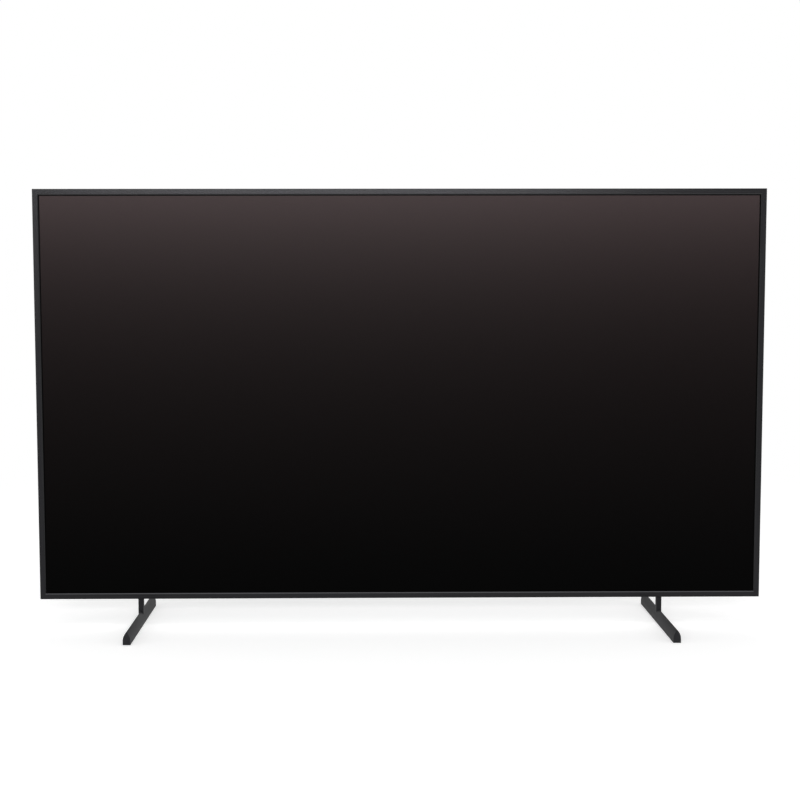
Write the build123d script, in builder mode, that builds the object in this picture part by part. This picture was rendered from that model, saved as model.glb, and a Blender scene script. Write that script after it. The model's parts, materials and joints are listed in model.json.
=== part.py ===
from build123d import *
import os

os.makedirs("parts", exist_ok=True)

# A slim flat screen television on two blade feet. X runs to the viewer's right, Y to the rear,
# Z up. The origin lies on the floor, midway between the feet and between the blades' two ends.
# Lengths are in millimetres.

# Picture and outline of the set
picture_width = 1209.6
picture_height = 680.4
side_border = 4.4
bezel_face = 9.8
tv_depth = 24.9
tv_width = picture_width + 2 * (side_border + bezel_face)
tv_height = picture_height + 2 * bezel_face
overrun = 1.0

# Stand: drop and travel are measured from the set's lower edge
foot_drop = 46.0
foot_travel = 21.0
foot_margin = 170.0
front_setback = 4.0
foot_length = 237.0
blade_width = 12.4
blade_height = 22.0
blade_shoulder = 7.0
blade_end_chamfer = 0.8
ridge_radius = 1.2
pad_length = 34.0
pad_width = 8.0
pad_thickness = 1.6
pad_proud = 0.6
pad_end_margin = 9.0
post_width = 9.0
post_corner = 2.4
post_insert = 60.0
post_play = 0.15
bracket_wall = 1.3
bracket_side = 2.0
bracket_height = 84.0
bracket_ear = 12.0
bracket_gap = 0.3
clamp_height = 30.0
clamp_radius = 2.0
clamp_play = 0.2
clamp_head_radius = 3.9
clamp_head_gap = 0.5

# Front frame rails, from the outer face inwards and from the front to the rear
flange_thickness = 1.4
rail_wall = 1.6
rail_depth = 9.4
rail_edge_chamfer = 0.5
hook_thickness = 1.2
lip_width = 1.3
lip_drop = 0.9
key_leg = 42.0

# Screen stack, from the flange to the rear
gasket_thickness = 0.5
gasket_width = 3.2
gasket_margin = 0.6
glass_thickness = 1.5
glass_cover = 4.6
shelf_thickness = 1.0
shelf_setback = 0.4
frame_wall = 1.5
sheet_thickness = 0.3
sheet_names = ("cover_sheet", "prism_sheet", "diffuser_sheet")
guide_thickness = 2.5
reflector_thickness = 0.2
tray_thickness = 1.0
tray_wall = 0.8

# Play between the frame's layers
glass_play = 0.3
hook_play = 0.2
key_play = 0.3
tray_play = 0.1
sheet_play = 0.3

gasket_back = flange_thickness + gasket_thickness
glass_back = gasket_back + glass_thickness
shelf_back = glass_back + shelf_thickness
sheets_back = shelf_back + len(sheet_names) * sheet_thickness
guide_back = sheets_back + guide_thickness
tray_front = guide_back + reflector_thickness
tray_back = tray_front + tray_thickness

# Insets from the set's outer edge
glass_inset = bezel_face - glass_cover
frame_inner_inset = glass_inset - glass_play
frame_outer_inset = frame_inner_inset - frame_wall
hook_reach = frame_outer_inset - hook_play
key_thickness = frame_outer_inset - key_play - rail_wall
tray_inset = frame_inner_inset + tray_play
sheet_inset = tray_inset + tray_wall + sheet_play
guide_foot_inset = bezel_face - shelf_setback

# Lower edge lighting
led_bar_thickness = 1.2
led_board_thickness = 1.0
led_gap = 0.2
led_count = 48
led_length = 5.6
led_margin = 10.0
led_width = 1.8
led_bar_inset = tray_inset + tray_wall
led_board_inset = led_bar_inset + led_bar_thickness
led_inset = led_board_inset + led_board_thickness
led_height = guide_foot_inset - led_gap - led_inset

# Tray's pressed beads, two in each row, with chamfered corners
bead_gap = 114.0
bead_margin = 92.0
bead_width = 26.0
bead_height = 3.0
bead_chamfer = 8.0
bead_row_shares = (0.72, 0.82, 0.92)

# Rear cover
cover_inset = 0.8
cover_wall = 2.0
cover_corner = 4.0
cover_edge_chamfer = 1.8
rib_thickness = 1.2
rib_depth = 2.6
rib_low_share = 0.69
rib_high_share = 0.97
rib_across_shares = (-0.4, -0.27, 0, 0.27, 0.4)
boss_radius = 5.0
boss_pocket_radius = 3.6
boss_floor = 2.0
boss_hole_radius = 1.7
boss_margin = 11.0
boss_top_shares = (-0.91, -0.35, 0.35, 0.91)
boss_side_shares = (0.33, 0.67)
boss_low_height = 42.0
boss_low_half_spacing = 252.0
screw_radius = 1.5
screw_head_radius = 2.9
screw_head_height = 1.8

# Sides of the small round things that repeat: bosses, screw pockets, screws, their holes and wires
boss_sides = 8
pocket_sides = 8
screw_sides = 6
clamp_sides = 12
cover_inner = tv_depth - cover_wall

# Wall bracket bosses on a 200 by 200 square
vesa_spacing = 200.0
vesa_thread_radius = 4.0
vesa_boss_radius = 8.0
vesa_recess = 0.5
vesa_play = 0.3

# Vents, speaker outlets and cable groove
vent_count = 16
vent_pitch = 8.0
vent_width = 3.0
vent_height = 34.0
vent_half_spacing = 200.0
vent_share = 0.885
outlet_count = 10
outlet_pitch = 9.0
outlet_width = 4.0
outlet_depth = 7.0
groove_width = 46.0
groove_depth = 8.0
groove_wall = 2.0

# Connector bay and its cover, measured from the set's middle and lower edge
bay_left = 262.0
bay_width = 132.0
bay_bottom = 120.0
bay_depth = 14.4
bay_wall = 3.5
bay_margin = 2.0
socket_pitch = 22.0
socket_count = 8
bay_height = socket_count * socket_pitch + 2 * bay_margin
rebate_width = 2.0
lid_thickness = 2.0
lid_play = 0.3
lid_corner = 2.0
clip_width = 12.0
clip_length = 6.0
clip_thickness = 1.4
clip_edge_share = 0.3
finger_length = 30.0
finger_width = 8.0
finger_depth = 1.2
socket_wall_gap = 0.3
socket_proud = 0.4
socket_top_gap = 0.3

# Power recess on the other side
recess_width = 64.0
recess_height = 76.0
recess_right = -306.0

# Circuit boards
board_lift = 4.2
board_thickness = 1.6
board_gap = 0.4
spacer_radius = 3.0
spacer_inset = 6.0
board_hole_radius = 1.6
headroom_gap = 0.8
board_front = tray_back + board_lift
board_back = board_front + board_thickness
headroom = cover_inner - headroom_gap - board_back

main_clearance = 10.0
main_overhang = 8.0
power_clearance = 24.0
power_height = 180.0
timing_width = 140.0
timing_height = 48.0
timing_left = 100.0
timing_bottom = 38.0
source_clearance = 28.0
source_height = 14.0
source_thickness = 1.0
source_gap = 60.0
source_bottom = 12.0
film_width = 30.0
film_thickness = 0.3
film_count = 6
film_line_inset = 4.1
film_play = 2.0
film_root_depth = 2.65

# Speakers
speaker_length = 104.0
speaker_height = 52.0
speaker_margin = 29.0
speaker_gap = 0.3
speaker_corner = 6.0
driver_length = 70.0
driver_width = 9.0
driver_height = 4.0
driver_wall = 1.2

# Button, switch and remote sensor under the lower edge
button_across = 34.0
button_length = 12.0
button_width = 5.0
button_proud = 0.6
button_travel = 0.5
button_play = 0.2
button_flange = 1.0
button_flange_thickness = 1.0
button_stop_gap = 0.1
plunger_radius = 1.5
plunger_length = 2.6
switch_width = 6.4
switch_height = 3.6
switch_play = 0.1
small_board_thickness = 1.2
small_board_length = 22.0
sensor_across = -34.0
sensor_length = 22.0
sensor_width = 3.4
sensor_front = 3.4
sensor_body = 5.0

front_y = -front_setback
foot_spacing = tv_width - 2 * foot_margin
speaker_centre = tv_width / 2 - speaker_margin - speaker_length / 2
bead_length = (tv_width - bead_gap) / 2 - bead_margin
bead_half_spacing = (bead_gap + bead_length) / 2
post_depth = cover_inner - tray_back - 2 * bracket_wall - 2 * post_play
post_middle = tray_back + bracket_wall + post_play + post_depth / 2
bracket_width = post_width + 2 * (post_play + bracket_side)
cover_floor = cover_inset + cover_wall
bracket_bottom = hook_reach + bracket_gap
bracket_depth = cover_inner - tray_back
bracket_reach = bracket_width / 2 + bracket_ear
source_width = foot_spacing / 2 - bracket_reach - source_clearance - source_gap / 2


def facing(depth):
    """Plane parallel to the picture: X to the right, Y up from the lower edge, normal to the front"""
    return Plane(origin=(0, front_y + depth, foot_drop), x_dir=(1, 0, 0), z_dir=(0, -1, 0))


def level(height):
    """Level plane above the set's lower edge: X to the right, Y back from the bezel's face"""
    return Plane(origin=(0, front_y, foot_drop + height), x_dir=(1, 0, 0), z_dir=(0, 0, 1))


def upright(across):
    """Plane across the set's width: X back from the bezel's face, Y up from the lower edge"""
    return Plane(origin=(across, front_y, foot_drop), x_dir=(0, 1, 0), z_dir=(1, 0, 0))


def keep(piece, name):
    """Label a finished piece and write it"""
    piece.part.label = name
    export_step(piece.part, f"parts/{name}.step")


tv_middle = (0, tv_height / 2)

# Places of the rear cover's screws
boss_top = tv_height - boss_margin
boss_side = tv_width / 2 - boss_margin
boss_places = (
    [(share * tv_width / 2, boss_top) for share in boss_top_shares]
    + [(side * boss_side, share * tv_height) for side in (-1, 1) for share in boss_side_shares]
    + [(side * boss_side, boss_low_height) for side in (-1, 1)]
    + [(side * boss_low_half_spacing, boss_low_height) for side in (-1, 1)]
)


# Front frame
def bezel_rail(name, middle_across, middle_height, inward, length, slot_length=0):
    """One extruded rail with mitred ends, from the midpoint of its outer front edge"""
    middle = Vector(middle_across, front_y, foot_drop + middle_height)
    along = inward.cross(Vector(0, 1, 0))
    with BuildPart() as rail:
        with BuildSketch(Plane(origin=middle, x_dir=inward, z_dir=along)):
            with BuildLine():
                Polyline(
                    (rail_edge_chamfer, 0),
                    (bezel_face - lip_width, 0),
                    (bezel_face, lip_drop),
                    (bezel_face, flange_thickness),
                    (rail_wall, flange_thickness),
                    (rail_wall, rail_depth - hook_thickness),
                    (hook_reach, rail_depth - hook_thickness),
                    (hook_reach, rail_depth),
                    (0, rail_depth),
                    (0, rail_edge_chamfer),
                    close=True,
                )
            make_face()
        extrude(amount=length / 2, both=True)
        for end in (-1, 1):
            corner = middle + along * (end * length / 2)
            split(bisect_by=Plane(origin=corner, z_dir=along * end + inward), keep=Keep.BOTTOM)
        if slot_length:
            # Slot in the lower wall for the remote sensor's window
            with BuildSketch(level(0)):
                with Locations((sensor_across, sensor_front + sensor_width / 2)):
                    Rectangle(slot_length, sensor_width)
            extrude(amount=rail_wall, mode=Mode.SUBTRACT)
    keep(rail, name)


bezel_rail("bezel_bottom", 0, 0, Vector(0, 0, 1), tv_width, slot_length=sensor_length)
bezel_rail("bezel_top", 0, tv_height, Vector(0, 0, -1), tv_width)
bezel_rail("bezel_left", -tv_width / 2, tv_height / 2, Vector(1, 0, 0), tv_height)
bezel_rail("bezel_right", tv_width / 2, tv_height / 2, Vector(-1, 0, 0), tv_height)

# Corner keys lie in the rails' channel, one leg in each rail
with BuildPart() as corner_keys:
    with BuildSketch(facing(rail_depth - hook_thickness)):
        for side in (-1, 1):
            for corner_height, up in ((rail_wall, 1), (tv_height - rail_wall, -1)):
                corner_across = side * (tv_width / 2 - rail_wall)
                with BuildLine():
                    Polyline(
                        (corner_across, corner_height),
                        (corner_across - side * key_leg, corner_height),
                        (corner_across - side * key_leg, corner_height + up * key_thickness),
                        (corner_across - side * key_thickness, corner_height + up * key_thickness),
                        (corner_across - side * key_thickness, corner_height + up * key_leg),
                        (corner_across, corner_height + up * key_leg),
                        close=True,
                    )
                make_face()
    extrude(amount=rail_depth - hook_thickness - flange_thickness)
keep(corner_keys, "corner_keys")


# Screen stack
def slab(name, width, height, front, back, middle=tv_middle):
    """A flat plate parallel to the picture, between two depths"""
    with BuildPart() as piece:
        with BuildSketch(facing(back)):
            with Locations(middle):
                Rectangle(width, height)
        extrude(amount=back - front)
    keep(piece, name)


slab("lcd_panel", tv_width - 2 * glass_inset, tv_height - 2 * glass_inset, gasket_back, glass_back)

# Four foam strips between the flange and the glass
gasket_inset = glass_inset + gasket_margin
with BuildPart() as panel_gasket:
    with BuildSketch(facing(gasket_back)):
        with Locations(tv_middle):
            with GridLocations(0, tv_height - 2 * gasket_inset - gasket_width, 1, 2):
                Rectangle(tv_width - 2 * gasket_inset, gasket_width)
            with GridLocations(tv_width - 2 * gasket_inset - gasket_width, 0, 2, 1):
                Rectangle(gasket_width, tv_height - 2 * gasket_inset)
    extrude(amount=gasket_thickness)
keep(panel_gasket, "panel_gasket")

# Places of the driver films along the lower edge, six on each of two boards
source_middle = source_gap / 2 + source_width / 2
film_pitch = source_width / film_count
film_places = [
    side * source_middle + (place - (film_count - 1) / 2) * film_pitch
    for side in (-1, 1)
    for place in range(film_count)
]

# Moulded frame whose shelf carries the glass; its lower wall is notched for the films
with BuildPart() as panel_frame:
    with BuildSketch(facing(tray_back)):
        with Locations(tv_middle):
            Rectangle(tv_width - 2 * frame_outer_inset, tv_height - 2 * frame_outer_inset)
            Rectangle(
                tv_width - 2 * frame_inner_inset,
                tv_height - 2 * frame_inner_inset,
                mode=Mode.SUBTRACT,
            )
    extrude(amount=tray_back - flange_thickness)
    with BuildSketch(facing(shelf_back)):
        with Locations(tv_middle):
            Rectangle(tv_width - 2 * frame_inner_inset, tv_height - 2 * frame_inner_inset)
            Rectangle(
                tv_width - 2 * guide_foot_inset,
                tv_height - 2 * guide_foot_inset,
                mode=Mode.SUBTRACT,
            )
    extrude(amount=shelf_thickness)
    with BuildSketch(level(frame_outer_inset)):
        for place in film_places:
            with Locations((place, tray_back)):
                Rectangle(
                    film_width + 2 * film_play,
                    2 * (tray_back - gasket_back),
                )
    extrude(amount=frame_wall, mode=Mode.SUBTRACT)
keep(panel_frame, "panel_frame")

sheet_width = tv_width - 2 * sheet_inset
sheet_height = tv_height - 2 * sheet_inset

# Three films lie on each other behind the shelf
for place, name in enumerate(sheet_names):
    sheet_front = shelf_back + place * sheet_thickness
    slab(name, sheet_width, sheet_height, sheet_front, sheet_front + sheet_thickness)

guide_height = tv_height - sheet_inset - guide_foot_inset
guide_middle = (0, guide_foot_inset + guide_height / 2)
slab("light_guide", sheet_width, guide_height, sheets_back, guide_back, guide_middle)
slab("reflector_sheet", sheet_width, sheet_height, guide_back, tray_front)

# Aluminium bar, board and diodes that light the guide from its lower edge
led_bar_height = (led_bar_inset + led_board_inset) / 2
slab(
    "led_bar",
    sheet_width,
    led_bar_thickness,
    sheets_back,
    guide_back,
    (0, led_bar_height),
)
led_run = sheet_width - 2 * led_margin
led_depth = (sheets_back + guide_back) / 2
with BuildPart() as led_strip:
    with BuildSketch(level(led_board_inset)):
        with Locations((0, led_depth)):
            Rectangle(sheet_width, guide_thickness)
    extrude(amount=led_board_thickness)
    with BuildSketch(level(led_inset)):
        with Locations((0, led_depth)):
            with GridLocations(led_run / (led_count - 1), 0, led_count, 1):
                Rectangle(led_length, led_width)
    extrude(amount=led_height)
keep(led_strip, "led_strip")

# Pressed steel tray: plate, rim folded to the front and hollow stiffening beads
with BuildPart() as backlight_tray:
    with BuildSketch(facing(tray_back)):
        with Locations(tv_middle):
            Rectangle(tv_width - 2 * tray_inset, tv_height - 2 * tray_inset)
    extrude(amount=tray_back - shelf_back)
    with BuildSketch(facing(tray_front)):
        with Locations(tv_middle):
            Rectangle(
                tv_width - 2 * (tray_inset + tray_wall),
                tv_height - 2 * (tray_inset + tray_wall),
            )
    extrude(amount=tray_front - shelf_back, mode=Mode.SUBTRACT)
    with BuildSketch(facing(tray_back + bead_height)) as bead_tops:
        for row_share in bead_row_shares:
            with Locations((0, row_share * tv_height)):
                with GridLocations(2 * bead_half_spacing, 0, 2, 1):
                    Rectangle(bead_length, bead_width)
        chamfer(bead_tops.vertices(), bead_chamfer)
    extrude(amount=bead_height)
    with BuildSketch(facing(tray_back + bead_height - tray_thickness)) as bead_hollows:
        for row_share in bead_row_shares:
            with Locations((0, row_share * tv_height)):
                with GridLocations(2 * bead_half_spacing, 0, 2, 1):
                    Rectangle(bead_length - 2 * tray_thickness, bead_width - 2 * tray_thickness)
        chamfer(bead_hollows.vertices(), bead_chamfer - tray_thickness / 2)
    extrude(amount=bead_height, mode=Mode.SUBTRACT)
    with BuildSketch(facing(tray_back)):
        with Locations(*boss_places):
            RegularPolygon(boss_hole_radius, screw_sides)
    extrude(amount=tray_thickness, mode=Mode.SUBTRACT)
keep(backlight_tray, "backlight_tray")

# Threaded six-sided steel bosses for a wall bracket, riveted to the tray
with BuildPart() as vesa_bosses:
    with BuildSketch(facing(tv_depth - vesa_recess)):
        with Locations(tv_middle):
            with GridLocations(vesa_spacing, vesa_spacing, 2, 2):
                RegularPolygon(vesa_boss_radius, screw_sides)
                Circle(vesa_thread_radius, mode=Mode.SUBTRACT)
    extrude(amount=tv_depth - vesa_recess - tray_back)
keep(vesa_bosses, "vesa_bosses")

# Driver strips on the lower edge and the films that reach them from the glass
source_middle_height = source_bottom + source_height / 2
with BuildPart() as source_boards:
    with BuildSketch(facing(tray_back + source_thickness)):
        with Locations((0, source_middle_height)):
            with GridLocations(2 * source_middle, 0, 2, 1):
                Rectangle(source_width, source_height)
    extrude(amount=source_thickness)
keep(source_boards, "source_boards")

film_back = tray_back + source_thickness + film_thickness / 2
with BuildPart() as panel_films:
    for place in film_places:
        with BuildSketch(upright(place - film_width / 2)):
            with BuildLine():
                Polyline(
                    (film_root_depth, glass_inset),
                    (film_root_depth, film_line_inset),
                    (film_back, film_line_inset),
                    (film_back, source_middle_height),
                )
            trace(line_width=film_thickness)
        extrude(amount=film_width)
keep(panel_films, "panel_films")


# Circuit boards: each is its plate with the parts soldered to its rear
def circuit_board(name, left, bottom, width, height, part_shares, notches=()):
    """A board on the tray's spacers; parts are middle, size and height shares of the board"""
    with BuildPart() as board:
        with BuildSketch(facing(board_back)):
            with Locations((left + width / 2, bottom + height / 2)):
                Rectangle(width, height)
                with GridLocations(width - 2 * spacer_inset, height - 2 * spacer_inset, 2, 2):
                    RegularPolygon(board_hole_radius, screw_sides, mode=Mode.SUBTRACT)
            for notch_across, notch_up, notch_width, notch_height in notches:
                with Locations((notch_across, notch_up)):
                    Rectangle(notch_width, notch_height, mode=Mode.SUBTRACT)
        extrude(amount=board_thickness)
        for across_share, up_share, width_share, height_share, tall_share in part_shares:
            tall = tall_share * headroom
            with BuildSketch(facing(board_back + tall)):
                with Locations((left + across_share * width, bottom + up_share * height)):
                    Rectangle(width_share * width, height_share * height)
            extrude(amount=tall)
    keep(board, name)


main_right = bay_left - bay_wall - board_gap
main_left = vesa_spacing / 2 + vesa_boss_radius + main_clearance
main_width = main_right - main_left
main_height = bay_height + 2 * main_overhang
main_bottom = bay_bottom - main_overhang
power_left = recess_right + bay_wall + board_gap
power_width = -(vesa_spacing / 2 + vesa_boss_radius + power_clearance) - power_left
power_bottom = bay_bottom

# Sockets on the main board's edge, from the bottom up
socket_places = [bay_bottom + bay_margin + (slot + 1 / 2) * socket_pitch for slot in range(socket_count)]
socket_mouth = bay_left + socket_proud
aerial_place = socket_places[0]
lan_place = socket_places[1]
optical_place = socket_places[2]
usb_places = socket_places[3:5]
hdmi_places = socket_places[5:8]

aerial_body = 12.0
aerial_length = 11.0
aerial_barrel_radius = 4.7
aerial_barrel_length = 10.0
aerial_core_radius = 2.2
aerial_core_depth = 7.0
lan_width = 16.0
lan_height = 11.2
lan_length = 18.0
lan_mouth_width = 11.8
lan_mouth_height = 7.4
lan_mouth_depth = 14.0
optical_width = 10.0
optical_height = 8.0
optical_length = 13.0
optical_mouth_width = 6.0
optical_mouth_height = 5.4
optical_mouth_depth = 9.0
usb_width = 14.4
usb_height = 6.8
usb_length = 14.0
usb_shell = 0.6
usb_tongue = 1.8
hdmi_width = 15.0
hdmi_height = 6.0
hdmi_length = 12.0
hdmi_shell = 0.5
hdmi_tongue = 1.3
tongue_setback = 1.5
tongue_share = 0.78
notch_play = 0.5

# The ribbon between the two boards joins connectors on one line
link_share = 0.52
link_low_share = 0.07
link_height_share = 0.06
link_across = main_left + link_share * main_width
link_on_timing_share = (link_across - timing_left) / timing_width
timing_link_top_share = 0.98
timing_link_height_share = 0.12
timing_foot_share = 0.14
timing_foot_height_share = 0.14
timing_left_share = 0.1
timing_left_width_share = 0.05
timing_right_share = 0.82

# Plugs of the harness between the power board and the main board
main_plug_share = 0.12
main_plug_width_share = 0.08
power_plug_share = 0.88
power_plug_width_share = 0.08
plug_depth_share = 0.3

main_parts_shares = (
    (0.34, 0.8, 0.2, 0.14, 0.35),
    (0.62, 0.78, 0.14, 0.1, 0.25),
    (0.3, 0.28, 0.26, 0.2, 0.5),
    (link_share, link_low_share + link_height_share / 2, 0.2, link_height_share, 0.55),
    (main_plug_share, 0.52, main_plug_width_share, 0.2, 0.6),
    (0.14, 0.12, 0.1, 0.05, 0.55),
    (0.52, 0.96, 0.2, 0.04, 0.55),
)
sink_across_share = 0.5
sink_up_share = 0.52
circuit_board(
    "main_board",
    main_left,
    main_bottom,
    main_width,
    main_height,
    main_parts_shares,
    notches=(
        (main_right, lan_place, 2 * lan_length, lan_width + 2 * notch_play),
        (main_right, aerial_place, 2 * (aerial_length + notch_play), aerial_body + 2 * notch_play),
    ),
)

inlet_width = 22.0
inlet_height = 12.0
inlet_length = 19.0
inlet_mouth_width = 16.4
inlet_mouth_height = 8.2
inlet_mouth_depth = 12.0
inlet_pin_radius = 1.2
inlet_pin_spacing = 8.6
inlet_pin_setback = 2.0
inlet_height_share = 0.62
inlet_place = bay_bottom + inlet_height_share * recess_height

power_parts_shares = (
    (0.2, 0.8, 0.16, 0.2, 0.75),
    (power_plug_share, 0.5, power_plug_width_share, 0.16, 0.6),
    (0.74, 0.84, 0.2, 0.1, 0.5),
    (0.3, 0.1, 0.3, 0.08, 0.4),
    (0.7, 0.12, 0.16, 0.1, 0.55),
)
circuit_board(
    "power_board",
    power_left,
    power_bottom,
    power_width,
    power_height,
    power_parts_shares,
    notches=((power_left, inlet_place, 2 * inlet_length, inlet_width + 2 * notch_play),),
)

timing_parts_shares = (
    (0.4, 0.5, 0.14, 0.4, 0.2),
    (0.66, 0.5, 0.1, 0.24, 0.2),
    (timing_left_share, 0.5, timing_left_width_share, 0.46, 0.5),
    (timing_right_share, timing_foot_share, 0.2, timing_foot_height_share, 0.5),
    (
        link_on_timing_share,
        timing_link_top_share - timing_link_height_share / 2,
        0.2,
        timing_link_height_share,
        0.55,
    ),
)
circuit_board(
    "timing_board", timing_left, timing_bottom, timing_width, timing_height, timing_parts_shares
)

# Finned aluminium heat sink on the main processor
sink_width = 52.0
sink_base = 2.0
fin_count = 9
fin_thickness = 1.4
sink_across = main_left + sink_across_share * main_width
sink_up = main_bottom + sink_up_share * main_height
with BuildPart() as heat_sink:
    with BuildSketch(facing(board_back + sink_base)):
        with Locations((sink_across, sink_up)):
            Rectangle(sink_width, sink_width)
    extrude(amount=sink_base)
    with BuildSketch(facing(board_back + headroom)):
        with Locations((sink_across, sink_up)):
            with GridLocations((sink_width - fin_thickness) / (fin_count - 1), 0, fin_count, 1):
                Rectangle(fin_thickness, sink_width)
    extrude(amount=headroom - sink_base)
keep(heat_sink, "heat_sink")

# Two flat transformers: a wound middle between the halves of a ferrite core
transformer_width = 38.0
transformer_height = 32.0
winding_inset = 5.0
transformer_across_share = 0.52
transformer_up_shares = (0.32, 0.62)
with BuildPart() as transformers:
    for up_share in transformer_up_shares:
        place = (
            power_left + transformer_across_share * power_width,
            power_bottom + up_share * power_height,
        )
        with BuildSketch(facing(board_back + headroom)):
            with Locations(place):
                Rectangle(transformer_width, transformer_height)
        extrude(amount=headroom)
        with BuildSketch(facing(board_back + headroom)):
            with Locations(place):
                with GridLocations(0, transformer_height, 1, 2):
                    Rectangle(transformer_width / 2, 2 * winding_inset)
        extrude(amount=headroom / 2, mode=Mode.SUBTRACT)
keep(transformers, "transformers")

# Three smoothing capacitors that lie flat on the board
capacitor_length = 28.0
capacitor_count = 3
capacitor_across_share = 0.2
capacitor_up_share = 0.4
capacitor_gap = 0.6
capacitor_radius = headroom / 2
with BuildPart() as capacitors:
    with BuildSketch(upright(power_left + capacitor_across_share * power_width - capacitor_length / 2)):
        with Locations((board_back + capacitor_radius, power_bottom + capacitor_up_share * power_height)):
            with GridLocations(0, 2 * capacitor_radius + capacitor_gap, 1, capacitor_count):
                RegularPolygon(capacitor_radius, pocket_sides)
    extrude(amount=capacitor_length)
keep(capacitors, "capacitors")

insulation_thickness = 0.4
insulation_margin = 4.0
with BuildPart() as insulation_sheet:
    with BuildSketch(facing(tray_back + insulation_thickness)):
        with Locations((power_left + power_width / 2, power_bottom + power_height / 2)):
            Rectangle(power_width + 2 * insulation_margin, power_height + 2 * insulation_margin)
            with GridLocations(power_width - 2 * spacer_inset, power_height - 2 * spacer_inset, 2, 2):
                RegularPolygon(spacer_radius, screw_sides, mode=Mode.SUBTRACT)
    extrude(amount=insulation_thickness)
keep(insulation_sheet, "insulation_sheet")

# Six-sided spacers under the boards' corners, and the screws that hold the boards on them
board_plans = (
    (main_left, main_bottom, main_width, main_height),
    (power_left, power_bottom, power_width, power_height),
    (timing_left, timing_bottom, timing_width, timing_height),
)
board_corners = [
    (left + across, bottom + up)
    for left, bottom, width, height in board_plans
    for across in (spacer_inset, width - spacer_inset)
    for up in (spacer_inset, height - spacer_inset)
]
with BuildPart() as board_spacers:
    with BuildSketch(facing(board_front)):
        with Locations(*board_corners):
            RegularPolygon(spacer_radius, screw_sides)
            RegularPolygon(screw_radius, screw_sides, mode=Mode.SUBTRACT)
    extrude(amount=board_lift)
keep(board_spacers, "board_spacers")

with BuildPart() as board_screws:
    with BuildSketch(facing(board_back + screw_head_height)):
        with Locations(*board_corners):
            RegularPolygon(screw_head_radius, screw_sides)
    extrude(amount=screw_head_height)
    with BuildSketch(facing(board_back)):
        with Locations(*board_corners):
            RegularPolygon(screw_radius, screw_sides)
    extrude(amount=board_thickness + board_lift)
keep(board_screws, "board_screws")


# Sockets on the main board
def socket_shell(place, width, height, length, shell, tongue):
    """A pressed metal shell open towards the bay, with its plastic tongue"""
    middle = (board_back + height / 2, place)
    with BuildPart() as socket:
        with BuildSketch(upright(socket_mouth)):
            with Locations(middle):
                Rectangle(height, width)
        extrude(amount=-length)
        with BuildSketch(upright(socket_mouth)):
            with Locations(middle):
                Rectangle(height - 2 * shell, width - 2 * shell)
                Rectangle(tongue, tongue_share * width, mode=Mode.SUBTRACT)
        extrude(amount=-(length - 2 * shell), mode=Mode.SUBTRACT)
        with BuildSketch(upright(socket_mouth)):
            with Locations(middle):
                Rectangle(tongue, tongue_share * width)
        extrude(amount=-tongue_setback, mode=Mode.SUBTRACT)
    return socket.part


with BuildPart() as hdmi_sockets:
    for place in hdmi_places:
        add(socket_shell(place, hdmi_width, hdmi_height, hdmi_length, hdmi_shell, hdmi_tongue))
keep(hdmi_sockets, "hdmi_sockets")

with BuildPart() as usb_sockets:
    for place in usb_places:
        add(socket_shell(place, usb_width, usb_height, usb_length, usb_shell, usb_tongue))
keep(usb_sockets, "usb_sockets")


def block_socket(name, place, depth_middle, width, height, length, mouth_width, mouth_height, mouth_depth):
    """A moulded block with a plain rectangular mouth towards the bay"""
    with BuildPart() as socket:
        with BuildSketch(upright(socket_mouth)):
            with Locations((depth_middle, place)):
                Rectangle(height, width)
        extrude(amount=-length)
        with BuildSketch(upright(socket_mouth)):
            with Locations((depth_middle, place)):
                Rectangle(mouth_height, mouth_width)
        extrude(amount=-mouth_depth, mode=Mode.SUBTRACT)
    keep(socket, name)


tall_socket_depth = cover_inner - socket_top_gap - lan_height / 2
block_socket(
    "lan_socket",
    lan_place,
    tall_socket_depth,
    lan_width,
    lan_height,
    lan_length,
    lan_mouth_width,
    lan_mouth_height,
    lan_mouth_depth,
)
block_socket(
    "optical_socket",
    optical_place,
    board_back + optical_height / 2,
    optical_width,
    optical_height,
    optical_length,
    optical_mouth_width,
    optical_mouth_height,
    optical_mouth_depth,
)

aerial_depth = cover_inner - socket_top_gap - aerial_body / 2
with BuildPart() as aerial_socket:
    with BuildSketch(upright(bay_left - bay_wall - board_gap)):
        with Locations((aerial_depth, aerial_place)):
            Rectangle(aerial_body, aerial_body)
    extrude(amount=-aerial_length)
    with BuildSketch(upright(bay_left - bay_wall - board_gap)):
        with Locations((aerial_depth, aerial_place)):
            Circle(aerial_barrel_radius)
    extrude(amount=bay_wall + board_gap + aerial_barrel_length)
    with BuildSketch(upright(bay_left + aerial_barrel_length)):
        with Locations((aerial_depth, aerial_place)):
            Circle(aerial_core_radius)
    extrude(amount=-aerial_core_depth, mode=Mode.SUBTRACT)
keep(aerial_socket, "aerial_socket")

# Two-pin mains inlet whose mouth looks outwards from the power recess
inlet_depth = cover_inner - socket_top_gap - inlet_height / 2
inlet_mouth = recess_right - socket_proud
with BuildPart() as ac_inlet:
    with BuildSketch(upright(inlet_mouth)):
        with Locations((inlet_depth, inlet_place)):
            Rectangle(inlet_height, inlet_width)
    extrude(amount=inlet_length)
    with BuildSketch(upright(inlet_mouth)):
        with Locations((inlet_depth, inlet_place)):
            SlotOverall(inlet_mouth_width, inlet_mouth_height, rotation=90)
            with GridLocations(0, inlet_pin_spacing, 1, 2):
                Circle(inlet_pin_radius, mode=Mode.SUBTRACT)
    extrude(amount=inlet_mouth_depth, mode=Mode.SUBTRACT)
    with BuildSketch(upright(inlet_mouth)):
        with Locations((inlet_depth, inlet_place)):
            with GridLocations(0, inlet_pin_spacing, 1, 2):
                Circle(inlet_pin_radius)
    extrude(amount=inlet_pin_setback, mode=Mode.SUBTRACT)
keep(ac_inlet, "ac_inlet")

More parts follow.
